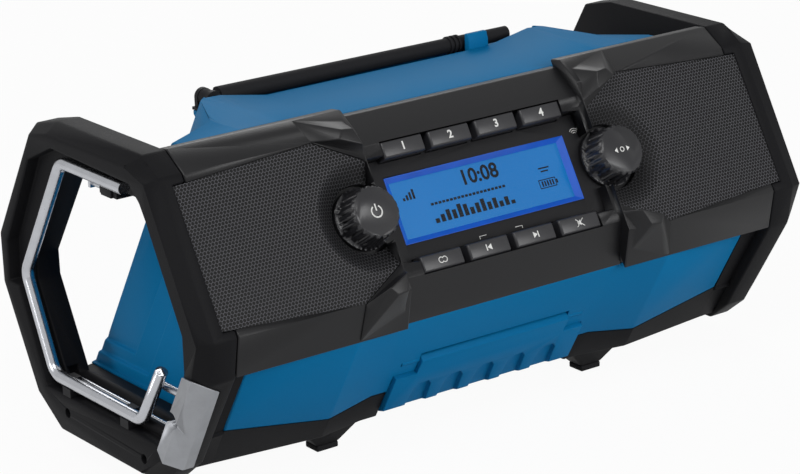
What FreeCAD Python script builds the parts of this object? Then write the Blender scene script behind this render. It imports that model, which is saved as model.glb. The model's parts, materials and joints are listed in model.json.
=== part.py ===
"""Jobsite radio: a faceted housing between two loop handles, on four feet."""
import FreeCAD, Part
import math
import os
import Sketcher

V = FreeCAD.Vector

# Driving sizes in millimetres and degrees
SIZES = [
    ("ring_out", 177.0, "outer side face of each loop handle, from the middle"),
    ("ring_wide", 19.5, "width of each loop handle"),
    ("ring_bevel", 7.5, "width of the bevel round the outer edge of a loop"),
    ("ring_top", 162.1, "top of the loops"),
    ("ring_low", 9.5, "underside of the loops"),
    ("ring_rear", 94.4, "rear of the loops"),
    ("base_low", 12.8, "underside of the base frame"),
    ("base_floor", 2.5, "floor thickness of the base frame"),
    ("panel_lean", 30.0, "lean of the front panel from the vertical"),
    ("panel_y", -67.0, "centre of the front panel, fore and aft"),
    ("panel_z", 121.0, "centre of the front panel, height"),
    ("panel_half", 38.0, "half height of the front plane"),
    ("brow_up", 51.5, "top of the brow, up the panel"),
    ("brow_drop", 7.0, "top of the brow, behind the front plane"),
    ("frame_up", 54.1, "upper edge of the front frame"),
    ("frame_down", 53.3, "lower edge of the front frame"),
    ("frame_deep", 13.1, "depth of the front frame"),
    ("seam", 0.35, "open seam between the front frame and a loop"),
    ("mid_half", 64.0, "half width of the set back middle of the frame"),
    ("mid_deep", 17.0, "depth of the middle of the front frame"),
    ("mid_set", 3.1, "set back of the middle strips"),
    ("mid_brow_up", 49.0, "top edge of the middle strip"),
    ("mid_brow_drop", 10.8, "top edge of the middle strip, set back"),
    ("mid_up", 51.5, "upper edge of the middle strip at the housing"),
    ("mid_down", 50.5, "lower edge of the middle strip at the housing"),
    ("well_half", 62.0, "half width of the control well"),
    ("well_up", 25.2, "half height of the control well"),
    ("well_deep", 9.5, "depth of the control well"),
    ("bump_high", 8.7, "height of the corner bumpers over the front plane"),
    ("grille_edge", 13.5, "outer edge of a grille from the side of the radio"),
    ("grille_bend", 89.3, "bend in the edge of a grille"),
    ("grille_in", 64.6, "inner edge of a grille"),
    ("grille_up", 33.4, "half height of a grille at its outer edge"),
    ("grille_bend_up", 38.2, "half height of a grille at its bend"),
    ("grille_in_up", 24.6, "half height of a grille at its inner edge"),
    ("grille_seat", 2.0, "depth of the seat of a grille"),
    ("grille_thick", 1.2, "thickness of a grille"),
    ("dish_r", 26.5, "radius of the dish in a grille round its knob"),
    ("dish_deep", 5.6, "depth of the dish in a grille"),
    ("knob_x", 71.8, "knobs from the middle"),
    ("knob_r", 12.3, "radius of a knob face"),
    ("knob_root_r", 13.1, "radius of a knob at its foot"),
    ("knob_skirt_r", 14.6, "radius of the skirt of a knob"),
    ("knob_high", 5.8, "knob face over the front plane"),
    ("knob_foot", 8.0, "knob foot behind the front plane"),
    ("knob_well_r", 16.4, "radius of the well round a knob"),
    ("knob_grooves", 22, "grooves round a knob"),
    ("shaft_r", 3.0, "radius of an encoder shaft"),
    ("knob_push", 1.0, "travel of a knob when it is pressed"),
    ("window_w", 105.0, "width of the display opening"),
    ("window_tall", 32.4, "height of the display opening"),
    ("screen_w", 98.5, "width of the lit screen"),
    ("screen_tall", 27.2, "height of the lit screen"),
    ("screen_set", 2.2, "lit screen behind the well"),
    ("button_w", 23.7, "width of a push button"),
    ("button_tall", 8.1, "height of a push button"),
    ("button_pitch", 26.9, "spacing of the push buttons"),
    ("button_up", 27.75, "middle of the button rows from the panel centre"),
    ("button_push", 1.2, "travel of a push button"),
    ("board_deep", 24.0, "front of the keypad board behind the front plane"),
    ("board_thick", 1.6, "thickness of the circuit boards"),
    ("ring_gap", 10.5, "gap between each loop handle and the end of the housing"),
    ("seam_mid", 27.4, "seam over the base at the middle"),
    ("seam_ridge", 23.7, "seam over the base at the ridges"),
    ("seam_end", 32.2, "seam over the base at the ends"),
    ("ridge_x", 91.5, "ridges of the housing from the middle"),
    ("valley_x", 65.5, "edges of the flat middle of the housing"),
    ("top_mid", 158.0, "top of the housing at the middle"),
    ("top_ridge", 162.8, "top of the housing at the ridges"),
    ("top_end", 156.3, "top of the housing at the ends"),
    ("rear_lean", 32.3, "lean of the rear of the housing from the vertical"),
    ("rear_flat", 83.0, "upright rear of the housing"),
    ("wall", 2.6, "wall of the housing"),
    ("end_wall", 9.5, "thickness of the stepped end walls"),
    ("terrace", 2.2, "height of a step on the end walls"),
    ("low_lean", 31.6, "lean of the lower front from the vertical"),
    ("ledge_y", 24.4, "front of the aerial ledge"),
    ("ledge_z", 153.5, "floor of the aerial ledge"),
    ("ledge_half", 98.0, "half length of the aerial ledge"),
    ("aerial_y", 33.0, "aerial axis, fore and aft"),
    ("aerial_z", 159.5, "aerial axis, height"),
    ("hinge_inset", 6.0, "aerial hinge from the end of the ledge"),
    ("aerial_tip_x", 85.0, "aerial tip from the middle"),
    ("aerial_root_r", 4.4, "radius of the aerial at its root"),
    ("aerial_tip_r", 3.5, "radius of the aerial at its tip"),
    ("clip_x", 61.5, "middle of the aerial clip"),
    ("hook_inset", 3.0, "plane of the hanging hook from the side face of the loop"),
    ("hook_r", 3.0, "radius of the hook rod"),
    ("hook_bend", 9.0, "bend radius of the hook rod"),
    ("hook_axle_z", 37.0, "lower run of the hook, its axle"),
    ("hook_top_z", 145.5, "upper run of the hook"),
    ("hook_seat", 6.9, "depth of the hook seat in the loop"),
    ("flap_half", 56.0, "half width of the socket flap"),
    ("flap_neck", 43.8, "half width of the socket flap at its hinge"),
    ("flap_hinge_y", -60.6, "flap hinge line on the lower front, fore and aft"),
    ("flap_hinge_z", 43.6, "flap hinge line on the lower front, height"),
    ("flap_sink", 0.6, "flap hinge axis under the surface"),
    ("flap_long", 33.0, "flap below its hinge axis"),
    ("flap_proud", 3.4, "flap over the surface"),
    ("flap_pin_r", 2.2, "radius of the flap hinge pin"),
    ("flap_bay_deep", 4.6, "depth of the bay for the flap"),
    ("pack_w", 74.0, "width of the battery pack"),
    ("pack_long", 112.0, "length of the battery pack"),
    ("pack_tall", 50.0, "height of the battery pack"),
    ("pack_low", 31.0, "underside of the battery pack"),
    ("pack_rear", 84.5, "rear face of the battery pack"),
    ("liner", 2.0, "wall of the battery bay"),
    ("rail", 2.0, "height of the rails in the battery bay"),
    ("cover_half", 62.0, "half width of the rear cover"),
    ("cover_top", 92.0, "top edge of the rear cover"),
    ("foot_x", 80.0, "feet from the middle"),
    ("foot_front_y", -31.0, "front feet, fore and aft"),
    ("foot_rear_y", 54.0, "rear feet, fore and aft"),
    ("foot_top_w", 34.0, "width of a foot at the base"),
    ("foot_low_w", 12.0, "width of a foot pad"),
    ("foot_top_d", 20.0, "depth of a foot at the base"),
    ("foot_low_d", 10.0, "depth of a foot pad"),
    ("pad_thick", 3.0, "thickness of a rubber foot pad"),
    ("speaker_inset", 63.0, "loudspeaker axis from the side face of the loop"),
    ("speaker_r", 25.0, "radius of a loudspeaker rim"),
    ("cone_r", 21.0, "radius of a loudspeaker cone"),
    ("screw_head_r", 3.0, "radius of a screw head"),
    ("screw_shank_r", 1.5, "radius of a screw shank"),
    ("slip", 0.35, "clearance round what moves"),
    ("fit", 0.05, "radial running fit of pins and shafts"),
]


class Size:
    """A number together with the sheet expression that gives it."""

    def __init__(self, value, text):
        self.value = float(value)
        self.text = text

    def __add__(self, other):
        other = size(other)
        return Size(self.value + other.value, f"({self.text} + {other.text})")

    def __sub__(self, other):
        other = size(other)
        return Size(self.value - other.value, f"({self.text} - {other.text})")

    def __mul__(self, other):
        other = size(other)
        return Size(self.value * other.value, f"({self.text} * {other.text})")

    def __truediv__(self, other):
        other = size(other)
        return Size(self.value / other.value, f"({self.text} / {other.text})")

    def __neg__(self):
        return Size(-self.value, f"(0 - {self.text})")

    def __radd__(self, other):
        return size(other) + self

    def __rsub__(self, other):
        return size(other) - self

    def __rmul__(self, other):
        return size(other) * self

    def __rtruediv__(self, other):
        return size(other) / self


def size(number):
    """A plain number as a Size; a Size stays as it is."""
    if isinstance(number, Size):
        return number
    return Size(number, f"({float(number)!r})")


def sin(angle):
    return Size(math.sin(math.radians(angle.value)), f"sin({angle.text})")


def cos(angle):
    return Size(math.cos(math.radians(angle.value)), f"cos({angle.text})")


def tan(angle):
    return Size(math.tan(math.radians(angle.value)), f"tan({angle.text})")


doc = FreeCAD.newDocument("jobsite_radio")
sheet = doc.addObject("Spreadsheet::Sheet", "sizes")


class Sizes:
    """The driving sizes, read from the sheet by their aliases."""


S = Sizes()
for row, (alias, number, note) in enumerate(SIZES, start=1):
    sheet.set(f"A{row}", alias)
    sheet.set(f"B{row}", str(number))
    sheet.set(f"C{row}", note)
    sheet.setAlias(f"B{row}", alias)
doc.recompute()
for alias, number, note in SIZES:
    setattr(S, alias, Size(sheet.get(alias), f"sizes.{alias}"))

S.ring_in = S.ring_out - S.ring_wide
S.end_half = S.ring_in - S.ring_gap
S.grille_out = S.ring_out - S.grille_edge
S.hook_x = S.ring_out - S.hook_inset
S.speaker_x = S.ring_out - S.speaker_inset
S.aerial_hinge_x = S.ledge_half - S.hinge_inset
nodes = []


def keep(thing, label):
    """Names a finished sub-part and puts it on the list to be written."""
    thing.Label = label
    nodes.append(thing)
    return thing


# Placing
def place(thing, x=0, y=0, z=0, axis=V(1, 0, 0), angle=0):
    """Binds the placement of a thing to the sheet."""
    x, y, z, angle = size(x), size(y), size(z), size(angle)
    thing.Placement = FreeCAD.Placement(V(x.value, y.value, z.value), FreeCAD.Rotation(axis, angle.value))
    thing.setExpression("Placement.Base.x", x.text)
    thing.setExpression("Placement.Base.y", y.text)
    thing.setExpression("Placement.Base.z", z.text)
    thing.setExpression("Placement.Rotation.Angle", angle.text)
    return thing


def panel_yz(up, out):
    """Depth and height of a point given up the front panel and out from it."""
    lean = S.panel_lean
    y = S.panel_y + up * sin(lean) - out * cos(lean)
    z = S.panel_z + up * cos(lean) + out * sin(lean)
    return y, z


def on_panel(thing, x=0, up=0, out=0):
    """Places a thing whose Z is the outward direction of the front panel."""
    y, z = panel_yz(size(up), size(out))
    return place(thing, x, y, z, V(1, 0, 0), 90 - S.panel_lean)


def low_yz(up, out):
    """Depth and height of a point on the lower front, from the flap hinge line."""
    lean = S.low_lean
    y = S.flap_hinge_y - up * sin(lean) - out * cos(lean)
    z = S.flap_hinge_z + up * cos(lean) - out * sin(lean)
    return y, z


def on_low_front(thing, x=0, up=0, out=0):
    """Places a thing whose Z is the outward direction of the lower front."""
    y, z = low_yz(size(up), size(out))
    return place(thing, x, y, z, V(1, 0, 0), 90 + S.low_lean)


# Sketches and features
def new_body(name):
    return doc.addObject("PartDesign::Body", name)


def new_sketch(body, plane, offset=0):
    """A sketch on one of the body's own origin planes, moved along its normal."""
    offset = size(offset)
    sketch = body.newObject("Sketcher::SketchObject", body.Name + "_sketch")
    support = [item for item in body.Origin.OriginFeatures if item.Role == plane + "_Plane"][0]
    sketch.AttachmentSupport = (support, [""])
    sketch.MapMode = "FlatFace"
    sketch.AttachmentOffset = FreeCAD.Placement(V(0, 0, offset.value), FreeCAD.Rotation())
    sketch.setExpression("AttachmentOffset.Base.z", offset.text)
    return sketch


def bind(sketch, kind, *where, number):
    """Adds a dimension to a sketch and binds it to the sheet."""
    number = size(number)
    index = sketch.addConstraint(Sketcher.Constraint(kind, *where, number.value))
    sketch.setExpression(f"Constraints[{index}]", number.text)


def add_polygon(sketch, points):
    """A closed outline through points whose coordinates follow the sheet."""
    points = [(size(a), size(b)) for a, b in points]
    first = len(sketch.Geometry)
    count = len(points)
    for index in range(count):
        a, b = points[index], points[(index + 1) % count]
        line = Part.LineSegment(V(a[0].value, a[1].value, 0), V(b[0].value, b[1].value, 0))
        sketch.addGeometry(line, False)
    for index in range(count):
        joint = ("Coincident", first + index, 2, first + (index + 1) % count, 1)
        sketch.addConstraint(Sketcher.Constraint(*joint))
    for index, (a, b) in enumerate(points):
        bind(sketch, "DistanceX", -1, 1, first + index, 1, number=a)
        bind(sketch, "DistanceY", -1, 1, first + index, 1, number=b)
    return sketch


def add_rectangle(sketch, x, y, wide, tall):
    """A rectangle about a centre."""
    x, y, wide, tall = size(x), size(y), size(wide), size(tall)
    corners = [(-0.5, -0.5), (0.5, -0.5), (0.5, 0.5), (-0.5, 0.5)]
    return add_polygon(sketch, [(x + wide * a, y + tall * b) for a, b in corners])


def add_circle(sketch, x, y, radius):
    x, y, radius = size(x), size(y), size(radius)
    index = len(sketch.Geometry)
    sketch.addGeometry(Part.Circle(V(x.value, y.value, 0), V(0, 0, 1), radius.value), False)
    bind(sketch, "Radius", index, number=radius)
    bind(sketch, "DistanceX", -1, 1, index, 3, number=x)
    bind(sketch, "DistanceY", -1, 1, index, 3, number=y)
    return sketch


def pad(body, sketch, length, symmetric=False, reverse=False):
    feature = body.newObject("PartDesign::Pad", body.Name + "_pad")
    feature.Profile = sketch
    feature.SideType = "Symmetric" if symmetric else "One side"
    feature.Reversed = reverse
    feature.setExpression("Length", size(length).text)
    return feature


def pocket(body, sketch, length, symmetric=False, reverse=False):
    """Cuts along the sketch's own normal when reverse is set, else against it."""
    doc.recompute()
    before = body.Shape.Volume
    feature = body.newObject("PartDesign::Pocket", body.Name + "_pocket")
    feature.Profile = sketch
    feature.SideType = "Symmetric" if symmetric else "One side"
    feature.Reversed = reverse
    feature.setExpression("Length", size(length).text)
    doc.recompute()
    if body.Shape.Volume > before - 1e-6:
        raise RuntimeError(f"{feature.Name} cuts nothing")
    return feature


def loft(body, sketches, cutting=False):
    kind = "PartDesign::SubtractiveLoft" if cutting else "PartDesign::AdditiveLoft"
    feature = body.newObject(kind, body.Name + "_loft")
    feature.Profile = sketches[0]
    feature.Sections = sketches[1:]
    feature.Ruled = True
    return feature


# Primitives and booleans
def box(name, wide, deep, tall, x=0, y=0, z=0):
    """A box centred on x and y with its foot at z."""
    wide, deep, tall = size(wide), size(deep), size(tall)
    thing = doc.addObject("Part::Box", name)
    thing.setExpression("Length", wide.text)
    thing.setExpression("Width", deep.text)
    thing.setExpression("Height", tall.text)
    return place(thing, size(x) - wide / 2, size(y) - deep / 2, z)


AXES = {"x": (V(0, 1, 0), 90), "y": (V(1, 0, 0), -90), "z": (V(0, 0, 1), 0)}


def rod(name, radius, length, x=0, y=0, z=0, along="z"):
    """A cylinder that starts at a point and runs along an axis."""
    thing = doc.addObject("Part::Cylinder", name)
    thing.setExpression("Radius", size(radius).text)
    thing.setExpression("Height", size(length).text)
    axis, angle = AXES[along]
    return place(thing, x, y, z, axis, angle)


def join(name, things):
    fused = doc.addObject("Part::MultiFuse", name)
    fused.Shapes = things
    return fused


def cut(name, base, tools):
    """A base less one tool or a list of tools."""
    if isinstance(tools, list):
        tool = join(name + "_tools", tools) if len(tools) > 1 else tools[0]
    else:
        tool = tools
    result = doc.addObject("Part::Cut", name)
    result.Base = base
    result.Tool = tool
    return result


def group(name, things):
    """Separate solids that share one node."""
    together = doc.addObject("Part::Compound", name)
    together.Links = things
    return together


def mirrored_points(points):
    """The same outline on the other side of the middle, wound the same way."""
    return [(-a, b) for a, b in reversed(points)]


# Stations of the housing and base along the width
def front_edge(up, out):
    return panel_yz(up, -out)


def housing_stations():
    """Outline corners at each station: front top, rear top, rear, foot, low front."""
    slope = tan(S.rear_lean)
    half_depth = S.frame_deep
    upper_end = S.frame_up - 5.0
    low_slope = tan(S.low_lean)
    end_low_y = -75.5 + size(0)

    def rear(top_y, top_z, seam, low_y):
        bend_z = top_z - (low_y - top_y) / slope
        return [(top_y, top_z), (low_y, bend_z), (low_y, seam)]

    mid_low = front_edge(-S.mid_down, S.mid_deep)
    ridge_low = front_edge(-S.frame_down, half_depth)
    stations = []
    mid = [front_edge(S.mid_up, S.mid_deep)] + rear(size(40.0), S.top_mid, S.seam_mid, S.rear_flat)
    mid += [(mid_low[0] + (mid_low[1] - S.seam_mid) * low_slope, S.seam_mid), mid_low]
    stations.append((S.valley_x, mid))
    ridge = [front_edge(S.frame_up, half_depth)] + rear(size(33.0), S.top_ridge, S.seam_ridge, S.rear_flat)
    ridge += [(ridge_low[0] + (ridge_low[1] - S.seam_ridge) * low_slope, S.seam_ridge), ridge_low]
    stations.append((S.ridge_x, ridge))
    slant = [(101.4, 24.6, 161.8, 83.0), (114.9, -3.5, 159.8, 80.0)]
    for x, top_y, top_z, low_y in slant:
        share = (size(x) - S.ridge_x) / (S.end_half - S.ridge_x)
        seam = S.seam_ridge + (S.seam_end - S.seam_ridge) * share
        corner = front_edge(S.frame_up, half_depth)
        low_front_y = ridge_low[0] + (end_low_y - ridge_low[0]) * share
        outline = [corner] + rear(size(top_y), size(top_z), seam, size(low_y))
        outline += [(low_front_y + (ridge_low[1] - seam) * low_slope, seam), (low_front_y, ridge_low[1])]
        stations.append((size(x), outline))
    top_y = size(-14.7)
    foot_y = top_y + (S.top_end - S.seam_end) * slope
    bend = (foot_y - 14.0, S.seam_end + 14.0 / slope)
    end = [front_edge(upper_end, half_depth), (top_y, S.top_end), bend, (foot_y, S.seam_end)]
    end += [(end_low_y + (ridge_low[1] - S.seam_end) * low_slope, S.seam_end), (end_low_y, ridge_low[1])]
    stations.append((S.end_half, end))
    return stations


def loft_through(body, stations, outline_of, cutting=False):
    """A ruled shell through mirrored stations, from one end to the other."""
    sketches = []
    for x, outline in reversed(stations):
        sketch = new_sketch(body, "YZ", -x)
        sketches.append(add_polygon(sketch, outline_of(outline)))
    for x, outline in stations:
        sketch = new_sketch(body, "YZ", x)
        sketches.append(add_polygon(sketch, outline_of(outline)))
    return loft(body, sketches, cutting)


def flap_bay(name):
    """The room that the socket flap takes in the lower front."""
    tall = S.flap_long + 8.0
    low = on_low_front(box(name + "_low", 1, 1, 1), 0, 0, 0)
    low.setExpression("Length", (2 * (S.flap_half + S.slip + 0.2)).text)
    low.setExpression("Width", (tall - 7.0).text)
    low.setExpression("Height", (S.flap_bay_deep + 12.0).text)
    y, z = low_yz(-tall, -S.flap_bay_deep)
    place(low, -(S.flap_half + S.slip + 0.2), y, z, V(1, 0, 0), 90 + S.low_lean)
    neck = doc.addObject("Part::Box", name + "_neck")
    neck.setExpression("Length", (2 * (S.flap_neck + S.slip)).text)
    neck.setExpression("Width", (tall + 4.7).text)
    neck.setExpression("Height", (S.flap_bay_deep + 12.0).text)
    place(neck, -(S.flap_neck + S.slip), y, z, V(1, 0, 0), 90 + S.low_lean)
    return join(name, [low, neck])


def rear_room(name, grow):
    """The room of the rear cover in the upright rear wall."""
    half = S.cover_half + grow
    tall = S.cover_top - S.seam_mid + 1.0
    return box(name, 2 * half, 20.0, tall + grow, 0, S.rear_flat, S.seam_mid - 1.0)


def main_housing():
    """The blue shell: top, rear, stepped end walls and lower front."""
    body = new_body("housing_body")
    stations = housing_stations()
    loft_through(body, stations, lambda outline: outline)
    wide = S.wall / cos(S.panel_lean)

    def inner(outline):
        top, rear_top, bend, foot, low, brow = outline
        return [
            (top[0] - 4.0, top[1] - S.wall),
            (rear_top[0] - 0.55 * S.wall, rear_top[1] - S.wall),
            (bend[0] - S.wall, bend[1] - 0.3 * S.wall),
            (foot[0] - S.wall, foot[1] - 1.0),
            (low[0] + wide, low[1] - 1.0),
            (brow[0] + wide, brow[1] + 1.5),
            (brow[0] - 4.0, brow[1] + 1.5),
        ]

    hollow = stations[:-1] + [(S.end_half - S.end_wall, stations[-1][1])]
    loft_through(body, hollow, inner, cutting=True)
    ledge = new_sketch(body, "YZ", -S.ledge_half)
    sky = S.top_ridge + 60.0
    corners = [(S.ledge_y, S.ledge_z), (130.0, S.ledge_z), (130.0, sky), (S.ledge_y, sky)]
    add_polygon(ledge, corners)
    pocket(body, ledge, 2 * S.ledge_half, reverse=True)
    slope = tan(S.rear_lean)
    steps = [(1.1, 33.0), (15.4, 38.7), (29.6, 45.0)]
    for number, (corner_y, corner_z) in enumerate(steps, start=1):
        high = S.top_ridge + 20.0
        lean_y = corner_y - (high - corner_z) * slope
        outline = [(corner_y, corner_z), (150.0, corner_z), (150.0, high), (lean_y, high)]
        for side in (1, -1):
            sketch = new_sketch(body, "YZ", side * (S.end_half - number * S.terrace))
            add_polygon(sketch, outline)
            pocket(body, sketch, 20.0, reverse=side > 0)
    groove = rod("pin_groove", S.flap_pin_r + S.fit, 2 * 54.3, along="x")
    y, z = low_yz(0, -S.flap_sink)
    place(groove, -54.3, y, z, V(0, 1, 0), 90)
    shelf_low = S.ledge_z - S.wall
    shelf = box("ledge_floor", 2 * S.ledge_half, S.wall + 12.0, S.wall, 0, S.ledge_y + 6.0, shelf_low)
    filled = join("housing_filled", [body, shelf])
    tools = [flap_bay("housing_flap_bay"), groove, rear_room("housing_rear_room", 0.15)]
    return keep(cut("housing_cut", filled, tools), "main_housing")


def rear_cover():
    """The blue cover on the upright rear, with the mouth of the battery bay."""
    tall = S.cover_top - S.seam_mid - 0.3
    wide = 2 * (S.cover_half - 0.15)
    plate = box("cover_plate", wide, S.wall, tall, 0, S.rear_flat - S.wall / 2, S.seam_mid + 0.15)
    mouth_w = S.pack_w + 2 * S.slip + 0.6
    mouth_tall = S.pack_tall + 2 * S.slip + 0.6
    mouth = box("cover_mouth", mouth_w, 20.0, mouth_tall, 0, S.rear_flat, S.pack_low - S.slip - 0.3)
    start, loose = S.rear_flat - 10.0, S.screw_shank_r + 0.1
    holes = [rod("cover_hole", loose, 12.0, x, start, z, "y") for x, z in rear_screw_places()]
    return keep(cut("rear_cover_cut", plate, [mouth] + holes), "rear_cover")


def rear_screw_places():
    return [(side * 54.0, z) for side in (1, -1) for z in (S.seam_mid + 8.0, S.cover_top - 6.0)]


def base_frame():
    """The black tray under the housing, with the four legs."""
    body = new_body("base_body")
    stations = housing_stations()
    low = S.base_low

    def outline(corners):
        foot, front = corners[3], corners[4]
        lean = tan(S.low_lean)
        return [
            (front[0], front[1]),
            (foot[0], foot[1]),
            (foot[0] - 4.0, low + 4.0),
            (foot[0] - 12.0, low),
            (front[0] + (front[1] - low) * lean, low),
        ]

    end_x, end_corners = stations[-1]
    widened = list(end_corners)
    widened[3] = (size(58.0), S.seam_end + 1.5)
    widened[4] = (widened[4][0], S.seam_end + 1.5)
    sections = stations[1:2] + [(end_x, end_corners), (S.ring_in, widened)]
    sections = stations[:1] + sections
    loft_through(body, sections, outline)
    tray = new_sketch(body, "XY", low + S.base_floor)
    side_x, bend_x = S.end_half - 9.0, S.end_half - 49.0
    add_polygon(tray, [
        (-side_x, -36.5), (side_x, -36.5), (side_x, 56.0), (bend_x, 69.0), (-bend_x, 69.0), (-side_x, 56.0),
    ])
    pocket(body, tray, 30.0, reverse=True)
    for side in (1, -1):
        for foot_y in (S.foot_front_y, S.foot_rear_y):
            top = new_sketch(body, "XY", low + 1.0)
            add_rectangle(top, side * S.foot_x, foot_y, S.foot_top_w, S.foot_top_d)
            bottom = new_sketch(body, "XY", S.pad_thick)
            add_rectangle(bottom, side * S.foot_x, foot_y, S.foot_low_w, S.foot_low_d)
            loft(body, [top, bottom])
    for side in (1, -1):
        post = new_sketch(body, "YZ", side * (S.end_half + 0.3))
        add_polygon(post, [
            (-53.4, S.seam_end - 2.0), (-46.5, S.seam_end - 2.0), (-46.5, S.seam_end), (-68.6, 68.2),
            (-75.2, 68.2), (-53.4, S.seam_end),
        ])
        pad(body, post, S.ring_gap - 0.3, reverse=side < 0)
    holes = []
    for x, y in base_screw_places():
        holes.append(rod("base_hole", S.screw_shank_r + 0.1, 6.0, x, y, S.base_low - 1.0))
        holes.append(rod("base_sink", S.screw_head_r + 0.2, 2.2, x, y, S.base_low - 1.0))
    return keep(cut("base_cut", body, [flap_bay("base_flap_bay")] + holes), "base_frame")


def base_screw_places():
    return [(side * x, y) for side in (1, -1) for x, y in ((120.0, -22.0), (120.0, 44.0), (52.0, 50.0))]


def base_screws():
    """Screws under the base, with their heads sunk in."""
    screws = []
    for x, y in base_screw_places():
        head = rod("base_head", S.screw_head_r, 1.2, x, y, S.base_low)
        shank = rod("base_shank", S.screw_shank_r, 9.0, x, y, S.base_low + 1.0)
        screws.append(join("base_screw", [head, shank]))
    return keep(group("base_screw_group", screws), "base_screws")


def foot_pads():
    """Rubber pads, one under each leg."""
    pads = []
    for side in (1, -1):
        for foot_y in (S.foot_front_y, S.foot_rear_y):
            x = side * S.foot_x
            pads.append(box("foot_pad", S.foot_low_w, S.foot_low_d, S.pad_thick, x, foot_y, 0))
    return keep(group("foot_pad_group", pads), "foot_pads")


# Loop handles
def loop_side_outline():
    """The outline of a loop at its outer side face."""
    inset = 4.8
    rear = S.ring_rear - 5.3
    return [
        (36.4, S.ring_top - inset), (-30.3, S.ring_top - inset), (-47.3, 152.4), (-82.9, 87.3),
        (-76.8, 70.5), (-48.5, 25.0), (-27.0, S.ring_low + 2.8), (42.7, S.ring_low + 2.8),
        (63.6, 26.1), (rear, 74.3), (rear, 98.3), (53.5, 154.1),
    ]


def loop_full_outline():
    """The outline of a loop inside its bevel; its front follows the panel."""
    top = panel_yz(S.panel_half, size(0))
    low = panel_yz(-S.panel_half, size(0))
    brow = panel_yz(S.brow_up, -S.brow_drop)
    chin = panel_yz(-S.frame_down, -S.frame_deep)
    return [
        (38.5, S.ring_top), (brow[0], S.ring_top), top, low,
        chin, (-51.0, 19.5), (-38.0, S.ring_low), (44.0, S.ring_low),
        (68.0, 22.0), (S.ring_rear, 72.0), (S.ring_rear, 101.0), (58.5, 157.5),
    ]


LOOP_HOLE = [
    (33.5, 141.0), (-38.0, 141.0), (-47.7, 135.3), (-71.9, 89.8), (-71.7, 73.0),
    (-48.0, 36.5), (46.9, 36.5), (68.0, 79.0), (68.0, 91.0),
]
HOOK_SEAT = [
    (34.5, 151.5), (56.4, 141.5), (82.6, 96.4), (84.0, 75.6), (75.5, 75.6), (55.0, 30.6),
    (-46.0, 30.6), (-71.7, 72.0), (-71.9, 89.8), (-47.7, 135.3), (-42.0, 143.0), (-34.0, 150.0),
]
ROOM_OUTSIDE = [(-95.0, 71.9), (-69.4, 71.9), (-44.4, 29.0), (-62.0, 9.0)]
ROOM_INSIDE = [(-95.0, 63.2), (-64.7, 63.2), (-44.4, 29.0), (-62.0, 9.0)]


def loop_screw_places():
    return [(35.9, 22.4), (-32.0, 20.4)]


def end_ring(side, label):
    """One loop handle; the left one has the seat of the hanging hook."""
    body = new_body(label + "_body")
    hand = 1 if side > 0 else -1
    face = new_sketch(body, "YZ", hand * S.ring_out)
    add_polygon(face, loop_side_outline())
    full = new_sketch(body, "YZ", hand * (S.ring_out - S.ring_bevel))
    add_polygon(full, loop_full_outline())
    loft(body, [full, face])
    slab = new_sketch(body, "YZ", hand * S.ring_in)
    add_polygon(slab, loop_full_outline())
    pad(body, slab, S.ring_out - S.ring_bevel - S.ring_in, reverse=hand < 0)
    hole = new_sketch(body, "YZ", hand * (S.ring_in - 1.0))
    add_polygon(hole, LOOP_HOLE)
    pocket(body, hole, 30.0, reverse=hand > 0)
    tools = []
    for y, z in loop_screw_places():
        start = hand * (S.ring_out - 5.0)
        name = label + "_hole"
        bore = rod(name, S.screw_head_r - 0.6, 8.0, start if hand > 0 else start - 8.0, y, z, "x")
        tools.append(bore)
    deep = S.grille_seat
    seat = doc.addObject("Part::Box", label + "_grille_seat")
    reach = 25.0
    seat.setExpression("Length", (size(reach) + 0.2).text)
    seat.setExpression("Width", (2 * (S.grille_up + 0.7)).text)
    seat.setExpression("Height", (deep + 3.0).text)
    low = S.grille_out - reach
    on_panel(seat, low if hand > 0 else -(S.grille_out + 0.2), -(S.grille_up + 0.7), -deep)
    tools.append(seat)
    if hand < 0:
        tools += hook_rooms(label)
    return keep(cut(label + "_cut", body, tools), label)


def hook_rooms(label):
    """What the left loop gives way to: hook, guide bar and steel corner."""
    room = new_body(label + "_hook_room")
    sketch = new_sketch(room, "YZ", -S.ring_out - 1.0)
    add_polygon(sketch, HOOK_SEAT)
    pad(room, sketch, S.hook_seat + 1.0)
    groove = box(label + "_bar_room", 5.2, 98.4, 8.0, -(S.ring_out - 11.5), 1.0, 31.6)
    corner = new_body(label + "_corner_room")
    outside = new_sketch(corner, "YZ", -S.ring_out - 2.0)
    add_polygon(outside, ROOM_OUTSIDE)
    inside = new_sketch(corner, "YZ", -S.ring_out + 13.0)
    add_polygon(inside, ROOM_INSIDE)
    loft(corner, [outside, inside])
    return [room, groove, corner]


def loop_screws():
    """Screws that hold the loops, deep in their side faces."""
    screws = []
    for hand in (1, -1):
        for y, z in loop_screw_places():
            start = hand * (S.ring_out - 5.0)
            x = start if hand > 0 else start - 2.0
            screws.append(rod("loop_screw", S.screw_head_r - 0.7, 2.0, x, y, z, "x"))
    return keep(group("loop_screw_group", screws), "loop_screws")


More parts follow.
